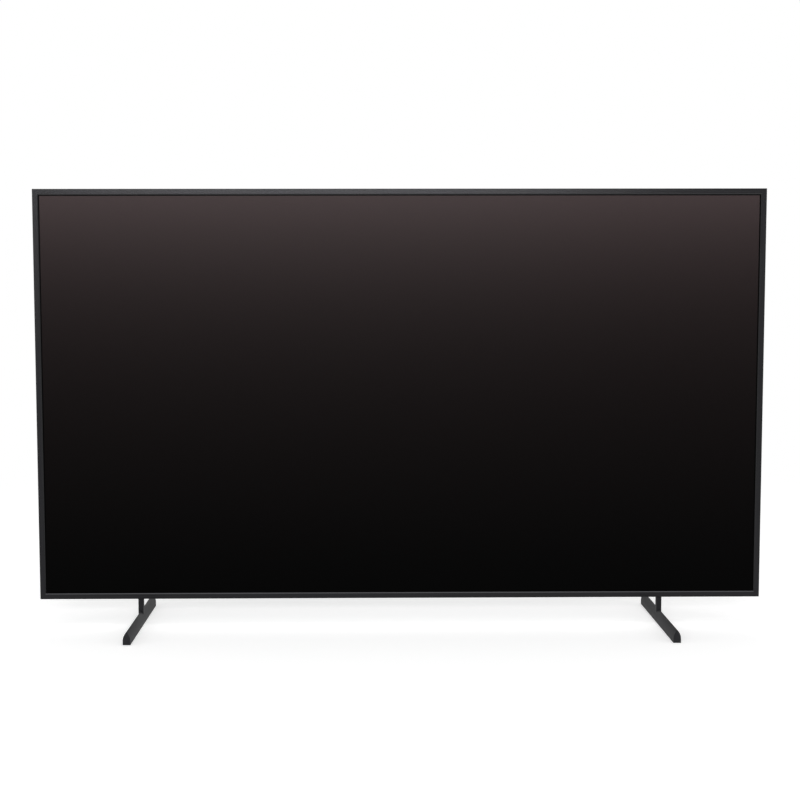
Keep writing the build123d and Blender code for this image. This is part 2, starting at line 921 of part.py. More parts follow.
# Flat ribbon cables: main board to timing board, and timing board to the two driver strips
ribbon_thickness = 0.3
ribbon_width = 24.0
ribbon_depth = board_back + headroom / 4
ribbon_drop = 6.0
ribbon_lead = 2.0
ribbon_left_across = -50.0
main_link_end = main_bottom + link_low_share * main_height
timing_link_end = timing_bottom + timing_link_top_share * timing_height
timing_foot_end = timing_bottom + (timing_foot_share - timing_foot_height_share / 2) * timing_height
timing_side_end = timing_left + (timing_left_share - timing_left_width_share / 2) * timing_width
timing_middle = timing_bottom + timing_height / 2
source_back = tray_back + source_thickness
source_top = source_bottom + source_height
ribbon_on_source = source_back + ribbon_thickness / 2
ribbon_on_tray = tray_back + ribbon_thickness / 2
ribbon_above = tray_back + 3 * ribbon_thickness / 2
source_plug_height = source_bottom + source_height / 2
with BuildPart() as ribbon_cables:
    with BuildSketch(upright(link_across - ribbon_width / 2)):
        with BuildLine():
            Polyline((ribbon_depth, timing_link_end), (ribbon_depth, main_link_end))
        trace(line_width=ribbon_thickness)
    extrude(amount=ribbon_width)
    with BuildSketch(upright(timing_left + timing_right_share * timing_width - ribbon_width / 2)):
        with BuildLine():
            Polyline(
                (ribbon_depth, timing_foot_end),
                (ribbon_depth, timing_bottom - ribbon_lead),
                (ribbon_on_source, timing_bottom - ribbon_lead - ribbon_drop),
                (ribbon_on_source, source_plug_height),
            )
        trace(line_width=ribbon_thickness)
    extrude(amount=ribbon_width)
    with BuildSketch(level(timing_middle - ribbon_width / 2)):
        with BuildLine():
            Polyline(
                (timing_side_end, ribbon_depth),
                (timing_left - ribbon_lead, ribbon_depth),
                (timing_left - ribbon_lead - ribbon_drop, ribbon_on_tray),
                (ribbon_left_across - ribbon_width / 2, ribbon_on_tray),
            )
        trace(line_width=ribbon_thickness)
    extrude(amount=ribbon_width)
    with BuildSketch(upright(ribbon_left_across - ribbon_width / 2)):
        with BuildLine():
            Polyline(
                (ribbon_above, timing_middle + ribbon_width / 2),
                (ribbon_above, source_top + ribbon_lead),
                (ribbon_on_source, source_top),
                (ribbon_on_source, source_plug_height),
            )
        trace(line_width=ribbon_thickness)
    extrude(amount=ribbon_width)
keep(ribbon_cables, "ribbon_cables")


# Wires: each lies in straight runs between its connector and its plug
wire_thickness = 2.2
wire_lift = 0.8
wire_lead = 5.0
wire_step = 14.0
wire_depth = tray_back + wire_lift + wire_thickness / 2
plug_depth = board_back + plug_depth_share * headroom
power_plug_face = power_left + (power_plug_share + power_plug_width_share / 2) * power_width
main_plug_face = main_left + (main_plug_share - main_plug_width_share / 2) * main_width
harness_height = bay_bottom + bay_height / 2
harness_pitch = 3.2
harness_count = 4
power_right = power_left + power_width
with BuildPart() as power_harness:
    for strand in range(harness_count):
        strand_height = harness_height + (strand - (harness_count - 1) / 2) * harness_pitch
        with BuildSketch(level(strand_height - wire_thickness / 2)):
            with BuildLine():
                Polyline(
                    (power_plug_face, plug_depth),
                    (power_right + wire_lead, plug_depth),
                    (power_right + wire_lead + wire_step, wire_depth),
                    (main_left - wire_lead - wire_step, wire_depth),
                    (main_left - wire_lead, plug_depth),
                    (main_plug_face, plug_depth),
                )
            trace(line_width=wire_thickness)
        extrude(amount=wire_thickness)
keep(power_harness, "power_harness")

# Two speaker leads leave the main board's lower plug, step down to the tray below the board and
# run outwards between the boards
lead_plug_share = 0.14
lead_plug_low_share = 0.095
lead_pitch = 4.0
lead_plug_across = main_left + lead_plug_share * main_width
lead_plug_face = main_bottom + lead_plug_low_share * main_height
lead_line = (main_bottom + timing_bottom + timing_height) / 2
speaker_bottom = cover_floor
speaker_top = speaker_bottom + speaker_height
speaker_entry = speaker_centre - speaker_length / 2 + wire_step
with BuildPart() as signal_wires:
    for side in (-1, 1):
        lead_start = lead_plug_across + side * lead_pitch
        with BuildSketch(upright(lead_start - wire_thickness / 2)):
            with BuildLine():
                Polyline(
                    (plug_depth, lead_plug_face),
                    (plug_depth, main_bottom - wire_lead / 2),
                    (wire_depth, main_bottom - wire_lead),
                    (wire_depth, lead_line - wire_thickness / 2),
                )
            trace(line_width=wire_thickness)
        extrude(amount=wire_thickness)
        with BuildSketch(facing(wire_depth + wire_thickness / 2)):
            with BuildLine():
                Polyline(
                    (lead_start, lead_line),
                    (side * speaker_entry, lead_line),
                    (side * speaker_entry, speaker_top),
                )
            trace(line_width=wire_thickness)
        extrude(amount=wire_thickness)
keep(signal_wires, "signal_wires")

# Wireless module, taped to the tray above the main board and joined to it by a thin flat cable
wireless_width = 34.0
wireless_height = 22.0
wireless_thickness = 1.0
wireless_can_height = 2.2
wireless_can_share = 0.6
wireless_gap = 26.0
wireless_across = main_left + link_share * main_width
wireless_bottom = main_bottom + main_height + wireless_gap
with BuildPart() as wireless_module:
    with BuildSketch(facing(tray_back + wireless_thickness)):
        with Locations((wireless_across, wireless_bottom + wireless_height / 2)):
            Rectangle(wireless_width, wireless_height)
    extrude(amount=wireless_thickness)
    with BuildSketch(facing(tray_back + wireless_thickness + wireless_can_height)):
        with Locations((wireless_across, wireless_bottom + wireless_height / 2)):
            Rectangle(wireless_width * wireless_can_share, wireless_height * wireless_can_share)
    extrude(amount=wireless_can_height)
keep(wireless_module, "wireless_module")


# Speakers: a slim box at each lower corner whose driver looks down through the cover's outlets
speaker_front = rail_depth + speaker_gap
speaker_back = cover_inner - speaker_gap
speaker_middle_depth = (speaker_front + speaker_back) / 2


def speaker(name, across):
    """One speaker box with the mouth of its driver in the lower side"""
    with BuildPart() as box:
        with BuildSketch(facing(speaker_back)) as outline:
            with Locations((across, speaker_bottom + speaker_height / 2)):
                Rectangle(speaker_length, speaker_height)
            chamfer(outline.vertices(), speaker_corner)
        extrude(amount=speaker_back - speaker_front)
        with BuildSketch(level(speaker_bottom)):
            with Locations((across, speaker_middle_depth)):
                SlotOverall(driver_length, driver_width)
        extrude(amount=driver_height, mode=Mode.SUBTRACT)
    keep(box, name)


speaker("speaker_left", -speaker_centre)
speaker("speaker_right", speaker_centre)

with BuildPart() as speaker_drivers:
    with BuildSketch(level(speaker_bottom + driver_wall)):
        with Locations((0, speaker_middle_depth)):
            with GridLocations(2 * speaker_centre, 0, 2, 1):
                SlotOverall(driver_length, driver_width)
    extrude(amount=driver_height - driver_wall)
    with BuildSketch(level(speaker_bottom + driver_wall)):
        with Locations((0, speaker_middle_depth)):
            with GridLocations(2 * speaker_centre, 0, 2, 1):
                Rectangle(driver_length - driver_width, driver_width - 2 * driver_wall)
    extrude(amount=(driver_height - driver_wall) / 2, mode=Mode.SUBTRACT)
keep(speaker_drivers, "speaker_drivers")

# Remote sensor: a dark window in the lower rail with its slim board above it
sensor_board_length = 26.0
sensor_depth_middle = sensor_front + sensor_width / 2
with BuildPart() as sensor_window:
    with BuildSketch(level(0)):
        with Locations((sensor_across, sensor_depth_middle)):
            Rectangle(sensor_length, sensor_width)
    extrude(amount=rail_wall)
keep(sensor_window, "sensor_window")

with BuildPart() as sensor_board:
    with BuildSketch(level(rail_wall)):
        with Locations((sensor_across, sensor_depth_middle)):
            Rectangle(sensor_board_length, sensor_body)
    extrude(amount=key_thickness)
keep(sensor_board, "sensor_board")

# Power button under the lower edge: cap with a flange inside the cover's wall, a plunger that
# enters the switch, and the small board that the switch hangs from
button_depth = (tray_back + tv_depth) / 2
button_low = cover_inset - button_proud
flange_low = cover_floor + button_stop_gap
flange_high = flange_low + button_flange_thickness
switch_low = flange_high + 2 * button_travel
switch_high = switch_low + switch_height
with BuildPart() as control_button:
    with BuildSketch(level(button_low)):
        with Locations((button_across, button_depth)):
            SlotOverall(button_length, button_width)
    extrude(amount=flange_low - button_low)
    with BuildSketch(level(flange_low)):
        with Locations((button_across, button_depth)):
            Rectangle(button_length + 2 * button_flange, button_width + 2 * button_flange)
    extrude(amount=button_flange_thickness)
keep(control_button, "control_button")

with BuildPart() as switch_plunger:
    with BuildSketch(level(flange_high)):
        with Locations((button_across, button_depth)):
            Circle(plunger_radius)
    extrude(amount=plunger_length)
keep(switch_plunger, "switch_plunger")

small_board_depth = cover_inner - speaker_gap - tray_back
pillar_width = 2.4
pillar_depth = 6.0
pillar_inset = 0.6
with BuildPart() as button_board:
    with BuildSketch(level(switch_high)):
        with Locations((button_across, tray_back + small_board_depth / 2)):
            Rectangle(small_board_length, small_board_depth)
    extrude(amount=small_board_thickness)
    with BuildSketch(level(switch_low)):
        with Locations((button_across, button_depth)):
            Rectangle(switch_width, switch_width)
            Circle(plunger_radius + switch_play, mode=Mode.SUBTRACT)
    extrude(amount=switch_height)
keep(button_board, "button_board")

# Rear cover: a moulded shell with pockets for the connectors
cover_width = tv_width - 2 * cover_inset
cover_height = tv_height - 2 * cover_inset
bay_middle = (bay_left + bay_width / 2, bay_bottom + bay_height / 2)
recess_middle = (recess_right - recess_width / 2, bay_bottom + recess_height / 2)
pockets = (
    (bay_middle, bay_width, bay_height),
    (recess_middle, recess_width, recess_height),
)
plate_plans = (
    (bay_left - bay_wall / 2, bay_middle[1], bay_height - 2 * bay_margin),
    (recess_right + bay_wall / 2, recess_middle[1], recess_height - 2 * bay_margin),
)
groove_across = bay_middle[0]
groove_top = bay_bottom
post_places = [(side * foot_spacing / 2, post_middle) for side in (-1, 1)]
clamp_places = [(side * foot_spacing / 2, clamp_height) for side in (-1, 1)]
pillar_places = [
    (button_across + side * (small_board_length / 2 - pillar_inset - pillar_width / 2), button_depth)
    for side in (-1, 1)
]
with BuildPart() as rear_cover:
    # Outer form with a softened rear edge
    with BuildSketch(facing(tv_depth)):
        with Locations(tv_middle):
            RectangleRounded(cover_width, cover_height, cover_corner)
    extrude(amount=tv_depth - rail_depth)
    chamfer(rear_cover.faces().sort_by(Axis.Y)[-1].edges(), cover_edge_chamfer)
    # Hollow, with ribs, bosses, pocket walls and button pillars left standing
    with BuildSketch(facing(cover_inner)):
        with Locations(tv_middle):
            RectangleRounded(
                cover_width - 2 * cover_wall,
                cover_height - 2 * cover_wall,
                cover_corner - cover_wall,
            )
        for middle, width, height in pockets:
            with Locations(middle):
                Rectangle(width + 2 * bay_wall, height + 2 * bay_wall, mode=Mode.SUBTRACT)
        with Locations((groove_across, groove_top / 2)):
            Rectangle(groove_width + 2 * groove_wall, groove_top, mode=Mode.SUBTRACT)
        with Locations(*boss_places):
            RegularPolygon(boss_radius, boss_sides, mode=Mode.SUBTRACT)
    extrude(amount=cover_inner - rail_depth, mode=Mode.SUBTRACT)
    # Clear the space in front of the groove; the pockets' floors lie against the tray side
    groove_floor = tv_depth - groove_depth - groove_wall
    with BuildSketch(facing(groove_floor)):
        with Locations((groove_across, (cover_floor + bay_bottom - bay_wall) / 2)):
            Rectangle(groove_width + 2 * groove_wall, bay_bottom - bay_wall - cover_floor)
    extrude(amount=groove_floor - rail_depth, mode=Mode.SUBTRACT)
    # Bosses reach the tray
    with BuildSketch(facing(rail_depth)):
        with Locations(*boss_places):
            RegularPolygon(boss_radius, boss_sides)
    extrude(amount=rail_depth - tray_back)
    with BuildSketch(facing(cover_inner)):
        for share in rib_across_shares:
            with Locations((share * tv_width, (rib_low_share + rib_high_share) / 2 * tv_height)):
                Rectangle(rib_thickness, (rib_high_share - rib_low_share) * tv_height)
    extrude(amount=rib_depth)
    with BuildSketch(level(cover_floor)):
        with Locations(*pillar_places):
            Rectangle(pillar_width, pillar_depth)
    extrude(amount=switch_high - cover_floor)
    # Pockets, the rebate for the terminal cover, and the groove that leads the cables down
    with BuildSketch(facing(tv_depth)):
        for middle, width, height in pockets:
            with Locations(middle):
                Rectangle(width, height)
    extrude(amount=bay_depth, mode=Mode.SUBTRACT)
    with BuildSketch(facing(tv_depth)):
        with Locations(bay_middle):
            RectangleRounded(
                bay_width + 2 * rebate_width, bay_height + 2 * rebate_width, lid_corner
            )
    extrude(amount=lid_thickness, mode=Mode.SUBTRACT)
    with BuildSketch(facing(tv_depth)):
        with Locations((groove_across, groove_top / 2)):
            Rectangle(groove_width, groove_top + 2 * overrun)
    extrude(amount=groove_depth, mode=Mode.SUBTRACT)
    # Windows in the pockets' inner walls, which the socket plates close
    with BuildSketch(facing(cover_inner)):
        for wall_across, middle_height, height in plate_plans:
            with Locations((wall_across, middle_height)):
                Rectangle(bay_wall, height)
    extrude(amount=cover_inner - rail_depth, mode=Mode.SUBTRACT)
    # Finger notch beside the terminal cover's outer edge
    with BuildSketch(facing(tv_depth)):
        with Locations((bay_left + bay_width + rebate_width + finger_width / 2, bay_middle[1])):
            Rectangle(finger_width, finger_length)
    extrude(amount=finger_depth, mode=Mode.SUBTRACT)
    # Screw pockets and their holes
    with BuildSketch(facing(tv_depth)):
        with Locations(*boss_places):
            RegularPolygon(boss_pocket_radius, pocket_sides)
    extrude(amount=tv_depth - tray_back - boss_floor, mode=Mode.SUBTRACT)
    with BuildSketch(facing(tray_back + boss_floor)):
        with Locations(*boss_places):
            RegularPolygon(boss_hole_radius, screw_sides)
    extrude(amount=boss_floor, mode=Mode.SUBTRACT)
    # Holes for the wall bracket's bosses and the foot clamp screws
    with BuildSketch(facing(tv_depth)):
        with Locations(tv_middle):
            with GridLocations(vesa_spacing, vesa_spacing, 2, 2):
                RegularPolygon(vesa_boss_radius + vesa_play, screw_sides)
        with Locations(*clamp_places):
            RegularPolygon(clamp_head_radius + clamp_head_gap, clamp_sides)
    extrude(amount=cover_wall, mode=Mode.SUBTRACT)
    # Vents above the boards
    with BuildSketch(facing(tv_depth)):
        for side in (-1, 1):
            with Locations((side * vent_half_spacing, vent_share * tv_height)):
                with GridLocations(vent_pitch, 0, vent_count, 1):
                    Rectangle(vent_width, vent_height)
    extrude(amount=cover_wall, mode=Mode.SUBTRACT)
    # Lower wall: post openings, speaker outlets and the button's opening
    with BuildSketch(level(cover_inset)):
        with Locations(*post_places):
            Rectangle(post_width + 4 * post_play, post_depth + 2 * post_play)
        for side in (-1, 1):
            with Locations((side * speaker_centre, speaker_middle_depth)):
                with GridLocations(outlet_pitch, 0, outlet_count, 1):
                    Rectangle(outlet_width, outlet_depth)
        with Locations((button_across, button_depth)):
            SlotOverall(button_length + 2 * button_play, button_width + 2 * button_play)
    extrude(amount=cover_wall, mode=Mode.SUBTRACT)
keep(rear_cover, "rear_cover")

with BuildPart() as rear_cover_screws:
    with BuildSketch(facing(tray_back + boss_floor + screw_head_height)):
        with Locations(*boss_places):
            RegularPolygon(screw_head_radius, screw_sides)
    extrude(amount=screw_head_height)
    with BuildSketch(facing(tray_back + boss_floor)):
        with Locations(*boss_places):
            RegularPolygon(screw_radius, screw_sides)
    extrude(amount=boss_floor + tray_thickness)
keep(rear_cover_screws, "rear_cover_screws")


# Plates that close the pockets' inner walls, with a window round each socket
def socket_plate(name, plan, windows, barrels=()):
    """A plate in its wall; a window is its middle's depth and height, then its size in both"""
    wall_across, middle_height, height = plan
    with BuildPart() as plate:
        with BuildSketch(facing(cover_inner)):
            with Locations((wall_across, middle_height)):
                Rectangle(bay_wall, height)
        extrude(amount=cover_inner - rail_depth)
        with BuildSketch(upright(wall_across)):
            for window_depth, window_height, deep, tall in windows:
                with Locations((window_depth, window_height)):
                    Rectangle(deep + 2 * socket_wall_gap, tall + 2 * socket_wall_gap)
            for barrel in barrels:
                with Locations(barrel):
                    Circle(aerial_barrel_radius + socket_wall_gap)
        extrude(amount=bay_wall / 2, both=True, mode=Mode.SUBTRACT)
    keep(plate, name)


terminal_windows = (
    [(board_back + hdmi_height / 2, place, hdmi_height, hdmi_width) for place in hdmi_places]
    + [(board_back + usb_height / 2, place, usb_height, usb_width) for place in usb_places]
    + [(board_back + optical_height / 2, optical_place, optical_height, optical_width)]
    + [(tall_socket_depth, lan_place, lan_height, lan_width)]
)
inlet_windows = [(inlet_depth, inlet_place, inlet_height, inlet_width)]
socket_plate("terminal_plate", plate_plans[0], terminal_windows, [(aerial_depth, aerial_place)])
socket_plate("inlet_plate", plate_plans[1], inlet_windows)

# Terminal cover over the connector bay, flush with the rear cover, with four snap clips
with BuildPart() as terminal_cover:
    with BuildSketch(facing(tv_depth)):
        with Locations(bay_middle):
            RectangleRounded(
                bay_width + 2 * (rebate_width - lid_play),
                bay_height + 2 * (rebate_width - lid_play),
                lid_corner,
            )
    extrude(amount=lid_thickness)
    with BuildSketch(facing(tv_depth - lid_thickness)):
        with Locations(bay_middle):
            with GridLocations(
                2 * clip_edge_share * bay_width,
                bay_height - 2 * lid_play - clip_thickness,
                2,
                2,
            ):
                Rectangle(clip_width, clip_thickness)
    extrude(amount=clip_length)
keep(terminal_cover, "terminal_cover")


# Stand
def foot_bracket(name, across):
    """Steel socket on the tray: a closed channel round the post, with an ear on each side"""
    with BuildPart() as bracket:
        with BuildSketch(level(bracket_bottom)):
            with Locations((across, tray_back + bracket_depth / 2)):
                Rectangle(bracket_width, bracket_depth)
            with Locations((across, tray_back + bracket_wall / 2)):
                Rectangle(bracket_width + 2 * bracket_ear, bracket_wall)
            with Locations((across, post_middle)):
                Rectangle(
                    post_width + 2 * post_play, post_depth + 2 * post_play, mode=Mode.SUBTRACT
                )
        extrude(amount=bracket_height)
        with BuildSketch(facing(cover_inner)):
            with Locations((across, clamp_height)):
                RegularPolygon(clamp_radius + clamp_play, pocket_sides)
        extrude(amount=bracket_depth, mode=Mode.SUBTRACT)
    keep(bracket, name)


foot_bracket("foot_bracket_left", -foot_spacing / 2)
foot_bracket("foot_bracket_right", foot_spacing / 2)

with BuildPart() as foot_clamp_screws:
    with BuildSketch(facing(tv_depth)):
        with Locations(*clamp_places):
            RegularPolygon(clamp_head_radius, clamp_sides)
    extrude(amount=tv_depth - cover_inner)
    with BuildSketch(facing(cover_inner)):
        with Locations(*clamp_places):
            RegularPolygon(clamp_radius, pocket_sides)
    extrude(amount=bracket_depth)
keep(foot_clamp_screws, "foot_clamp_screws")


def foot(name, across):
    """A blade of pointed arch section with a post that slides in the bracket"""
    with BuildPart() as piece:
        with BuildSketch(Plane(origin=(across, foot_length / 2, 0), x_dir=(1, 0, 0), z_dir=(0, -1, 0))):
            with BuildLine():
                Line((-blade_width / 2, pad_proud), (blade_width / 2, pad_proud))
                Line((blade_width / 2, pad_proud), (blade_width / 2, blade_shoulder))
                TangentArc((blade_width / 2, blade_shoulder), (0, blade_height), tangent=(0, 1))
                TangentArc((-blade_width / 2, blade_shoulder), (0, blade_height), tangent=(0, 1))
                Line((-blade_width / 2, blade_shoulder), (-blade_width / 2, pad_proud))
            section_face = make_face()
            fillet(section_face.vertices().sort_by(Axis.Y)[-1], ridge_radius)
        extrude(amount=foot_length)
        ends = piece.faces().filter_by(Axis.Y)
        chamfer(ends.edges(), blade_end_chamfer)
        with BuildSketch(Plane.XY.offset(blade_shoulder)):
            with Locations((across, front_y + post_middle)):
                RectangleRounded(post_width, post_depth, post_corner)
        extrude(amount=foot_drop + post_insert - blade_shoulder)
        with BuildSketch(facing(cover_inner)):
            with Locations((across, clamp_height - foot_travel / 2)):
                SlotOverall(
                    foot_travel + 2 * (clamp_radius + clamp_play),
                    2 * (clamp_radius + clamp_play),
                    rotation=90,
                )
        extrude(amount=bracket_depth, mode=Mode.SUBTRACT)
        with BuildSketch(Plane.XY.offset(pad_proud)):
            with Locations((across, 0)):
                with GridLocations(0, foot_length - 2 * pad_end_margin - pad_length, 1, 2):
                    Rectangle(pad_width, pad_length)
        extrude(amount=pad_thickness - pad_proud, mode=Mode.SUBTRACT)
    keep(piece, name)


def foot_pads(name, across):
    """Two rubber pads let into the blade's underside"""
    with BuildPart() as pads:
        with BuildSketch(Plane.XY):
            with Locations((across, 0)):
                with GridLocations(0, foot_length - 2 * pad_end_margin - pad_length, 1, 2):
                    Rectangle(pad_width, pad_length)
        extrude(amount=pad_thickness)
    keep(pads, name)


for name, side in (("left", -1), ("right", 1)):
    foot(f"foot_{name}", side * foot_spacing / 2)
    foot_pads(f"foot_{name}_pads", side * foot_spacing / 2)
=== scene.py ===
# %% [markdown]
# # A slim flat screen television on two blade feet
# The set's solids were made in CAD and packed as a frame that never moves. Blender adds what the
# frame lacks: finishes, small fasteners, contacts, a floor, light and a camera. All lengths are
# in metres, X runs to the viewer's right, Y to the rear and Z up.

# %% Load the frame
import json
import math

import bmesh
import bpy
from mathutils import Matrix, Vector


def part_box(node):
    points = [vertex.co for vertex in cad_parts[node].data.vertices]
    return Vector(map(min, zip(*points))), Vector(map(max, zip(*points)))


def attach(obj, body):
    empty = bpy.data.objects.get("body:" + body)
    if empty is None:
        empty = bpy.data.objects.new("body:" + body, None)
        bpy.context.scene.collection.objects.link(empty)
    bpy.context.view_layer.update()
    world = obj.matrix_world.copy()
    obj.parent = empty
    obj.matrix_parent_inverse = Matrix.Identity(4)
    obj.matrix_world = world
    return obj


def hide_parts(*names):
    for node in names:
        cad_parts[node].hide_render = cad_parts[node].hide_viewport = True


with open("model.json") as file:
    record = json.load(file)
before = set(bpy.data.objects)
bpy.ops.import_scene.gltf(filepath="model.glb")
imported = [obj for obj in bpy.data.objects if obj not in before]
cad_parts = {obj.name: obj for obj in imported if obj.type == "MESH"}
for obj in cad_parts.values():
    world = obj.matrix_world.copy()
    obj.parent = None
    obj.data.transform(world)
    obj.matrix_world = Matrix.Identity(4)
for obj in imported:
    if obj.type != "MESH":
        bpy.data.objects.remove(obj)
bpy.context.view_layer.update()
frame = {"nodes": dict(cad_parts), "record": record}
nodes = frame["nodes"]

# %% [markdown]
# ## The camera
# The photograph looks at the screen from slightly above its middle and a little to the left. A
# longer lens and a small shift keep the frame's verticals upright, as a product photographer
# would do. The camera's own axes are written out, because the three small turns are easier to
# check as directions than as Euler angles.

# %% Camera
camera_place = Vector((-0.0524, -2.0288, 0.5966))
look_down, look_right, lean = (math.radians(a) for a in (3.892, 0.53, -0.083))
ahead = Vector(
    (
        math.sin(look_right) * math.cos(look_down),
        math.cos(look_right) * math.cos(look_down),
        -math.sin(look_down),
    )
)
level_right = Vector((math.cos(look_right), -math.sin(look_right), 0))
level_up = level_right.cross(ahead)
right = math.cos(lean) * level_right + math.sin(lean) * level_up
up = -math.sin(lean) * level_right + math.cos(lean) * level_up
camera_data = bpy.data.cameras.new("front_camera")
camera_data.lens = 53.76
camera_data.sensor_width = 36
camera_data.shift_x = 0.0241
camera_data.shift_y = -0.0514
camera = bpy.data.objects.new("front_camera", camera_data)
camera.matrix_world = Matrix.Translation(camera_place) @ Matrix((right, up, -ahead)).transposed().to_4x4()
bpy.context.scene.collection.objects.link(camera)
bpy.context.scene.camera = camera
bpy.context.scene.view_settings.view_transform = "Standard"
print("camera at", camera_place, "lens", camera_data.lens)

# %% [markdown]
# ## Nodes in short
# Every finish below is a small node tree. A few helpers keep the cells short: one makes a node
# and fills its inputs, one starts a material, and one gives a noise that is stretched along an
# axis, which is what brushing, moulding flow and rolled sheet have in common. The rest turn that
# noise into a range, a colour between two, or a grain in the surface.


# %% Helpers for node trees
def add_node(tree, kind, inputs=None, **settings):
    """Make a node; inputs maps a socket's name or number to a value or to another node's output"""
    made = tree.nodes.new(kind)
    for name, value in settings.items():
        setattr(made, name, value)
    for key, value in (inputs or {}).items():
        socket = made.inputs[key]
        if isinstance(value, bpy.types.NodeSocket):
            tree.links.new(value, socket)
        else:
            socket.default_value = value
    return made


def start_material(name, colour, roughness, metallic=0.0, specular=0.5):
    """A material whose even values sit on the shader's own sockets"""
    material = bpy.data.materials.new(name)
    material.use_nodes = True
    shader = material.node_tree.nodes["Principled BSDF"]
    shader.inputs["Base Color"].default_value = (*colour, 1)
    shader.inputs["Roughness"].default_value = roughness
    shader.inputs["Metallic"].default_value = metallic
    shader.inputs["Specular IOR Level"].default_value = specular
    material.diffuse_color = (*colour, 1)
    return material, material.node_tree, shader


def stretched_noise(tree, scale, detail=3.0, roughness=0.55):
    """Noise on object coordinates; scale has one number for each axis, in waves per metre"""
    place = add_node(tree, "ShaderNodeTexCoord")
    stretch = add_node(tree, "ShaderNodeMapping", {"Vector": place.outputs["Object"], "Scale": scale})
    return add_node(
        tree,
        "ShaderNodeTexNoise",
        {"Vector": stretch.outputs[0], "Scale": 1.0, "Detail": detail, "Roughness": roughness},
    ).outputs["Fac"]


def spread(tree, value, low, high):
    """Turn a noise's middle range into low to high"""
    return add_node(
        tree,
        "ShaderNodeMapRange",
        {"Value": value, "From Min": 0.3, "From Max": 0.7, "To Min": low, "To Max": high},
    ).outputs[0]


def two_colours(tree, share, first, second):
    """A colour between two, by a share from 0 to 1"""
    mix = add_node(tree, "ShaderNodeMix", {0: share}, data_type="RGBA")
    for socket, colour in ((6, first), (7, second)):
        if isinstance(colour, bpy.types.NodeSocket):
            tree.links.new(colour, mix.inputs[socket])
        else:
            mix.inputs[socket].default_value = (*colour, 1)
    return mix.outputs[2]


def raise_grain(tree, shader, height, distance, strength=1.0):
    """Bump from a height, with its depth in metres"""
    bump = add_node(
        tree, "ShaderNodeBump", {"Height": height, "Distance": distance, "Strength": strength}
    )
    tree.links.new(bump.outputs[0], shader.inputs["Normal"])


print("helpers ready")

# %% [markdown]
# ## The frame's metal
# The thin frame is an aluminium extrusion, brushed along its length and anodised charcoal. Its
# inner lip is a facet of its own, and its colour is painted light and shade. A painted highlight
# makes the lower rail's lip, which faces up, a thin bright line under the screen. The upper
# rail's lip, which faces down, is painted a little lighter than the metal, and at the sides
# painted shade keeps it a dark edge. The shader finds the lip by its direction: the normal has
# one fixed share towards the viewer, and its upward share says which rail it is on. That needs
# no extra mesh and no image.

# %% Brushed frame metal with painted light on the lip
LIP_TOWARDS_VIEWER = -0.822


def frame_metal(name, stretch):
    """Charcoal anodised metal brushed along one axis"""
    material, tree, shader = start_material(name, (0.015, 0.015, 0.017), 0.33, 0.75, 0.3)
    strokes = stretched_noise(tree, stretch, detail=4.0)
    clouds = stretched_noise(tree, (7, 7, 7), detail=2.0)
    facing = add_node(tree, "ShaderNodeTexCoord").outputs["Normal"]
    directions = add_node(tree, "ShaderNodeSeparateXYZ", {0: facing})
    towards = directions.outputs["Y"]
    lip = add_node(
        tree, "ShaderNodeMath", {0: towards, 1: LIP_TOWARDS_VIEWER, 2: 0.03}, operation="COMPARE"
    ).outputs[0]
    # masks for the lip's painted light and shade, by the normal's upward share
    lip_painted_highlight_share, lip_painted_lighter_share = (
        add_node(
            tree, "ShaderNodeMapRange", {"Value": directions.outputs["Z"], "From Min": near, "From Max": far}
        ).outputs[0]
        for near, far in ((0.2, 0.5), (-0.2, -0.5))
    )
    dark = two_colours(tree, spread(tree, strokes, 0, 1), (0.011, 0.011, 0.013), (0.019, 0.019, 0.021))
    warm = two_colours(tree, spread(tree, clouds, 0, 0.35), dark, (0.017, 0.016, 0.015))
    # painted light and shade on the lip: painted shade at the sides, a painted highlight where it faces up, a
    # little lighter where it faces down
    edge = two_colours(tree, lip_painted_highlight_share, (0.02, 0.02, 0.021), (0.07, 0.07, 0.075))
    edge = two_colours(tree, lip_painted_lighter_share, edge, (0.034, 0.034, 0.035))
    tree.links.new(two_colours(tree, lip, warm, edge), shader.inputs["Base Color"])
    worn = spread(tree, strokes, 0.28, 0.37)
    polish = add_node(tree, "ShaderNodeMix", {0: lip, 2: worn, 3: 0.24}).outputs[0]
    tree.links.new(polish, shader.inputs["Roughness"])
    raise_grain(tree, shader, strokes, 0.00002, 0.6)
    return material


level_metal = frame_metal("frame_metal_level", (9, 2600, 2600))
upright_metal = frame_metal("frame_metal_upright", (2600, 2600, 9))
print("frame metal in two brushing directions")

# %% [markdown]
# ## The screen
# The panel is dark glass with a fine haze on its face, so it mirrors little and softly. In the
# photograph it grows lighter towards its upper edge, where the studio's light lies on it. The
# lamp in front adds some of that as gloss. Most of it is a painted reflection: a warm grey that
# the colour below adds, stronger towards the top. It reads the object's own height, so it stays
# on the glass in every view. A narrow black border, where the panel has no picture cells, runs
# round the glass just inside the lip.

# %% Screen glass
screen_low, screen_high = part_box("lcd_panel")
screen_glass, tree, shader = start_material("screen_glass", (0.006, 0.006, 0.006), 0.33, 0.0, 0.024)
place = add_node(tree, "ShaderNodeTexCoord").outputs["Object"]
sides = add_node(tree, "ShaderNodeSeparateXYZ", {0: place})
share_up = add_node(
    tree,
    "ShaderNodeMapRange",
    {"Value": sides.outputs["Z"], "From Min": screen_low.z, "From Max": screen_high.z},
).outputs[0]


def glass_math(operation, first, second, third=0.5):
    """One step of arithmetic in the screen's tree"""
    inputs = {0: first, 1: second, 2: third}
    return add_node(tree, "ShaderNodeMath", inputs, operation=operation).outputs[0]
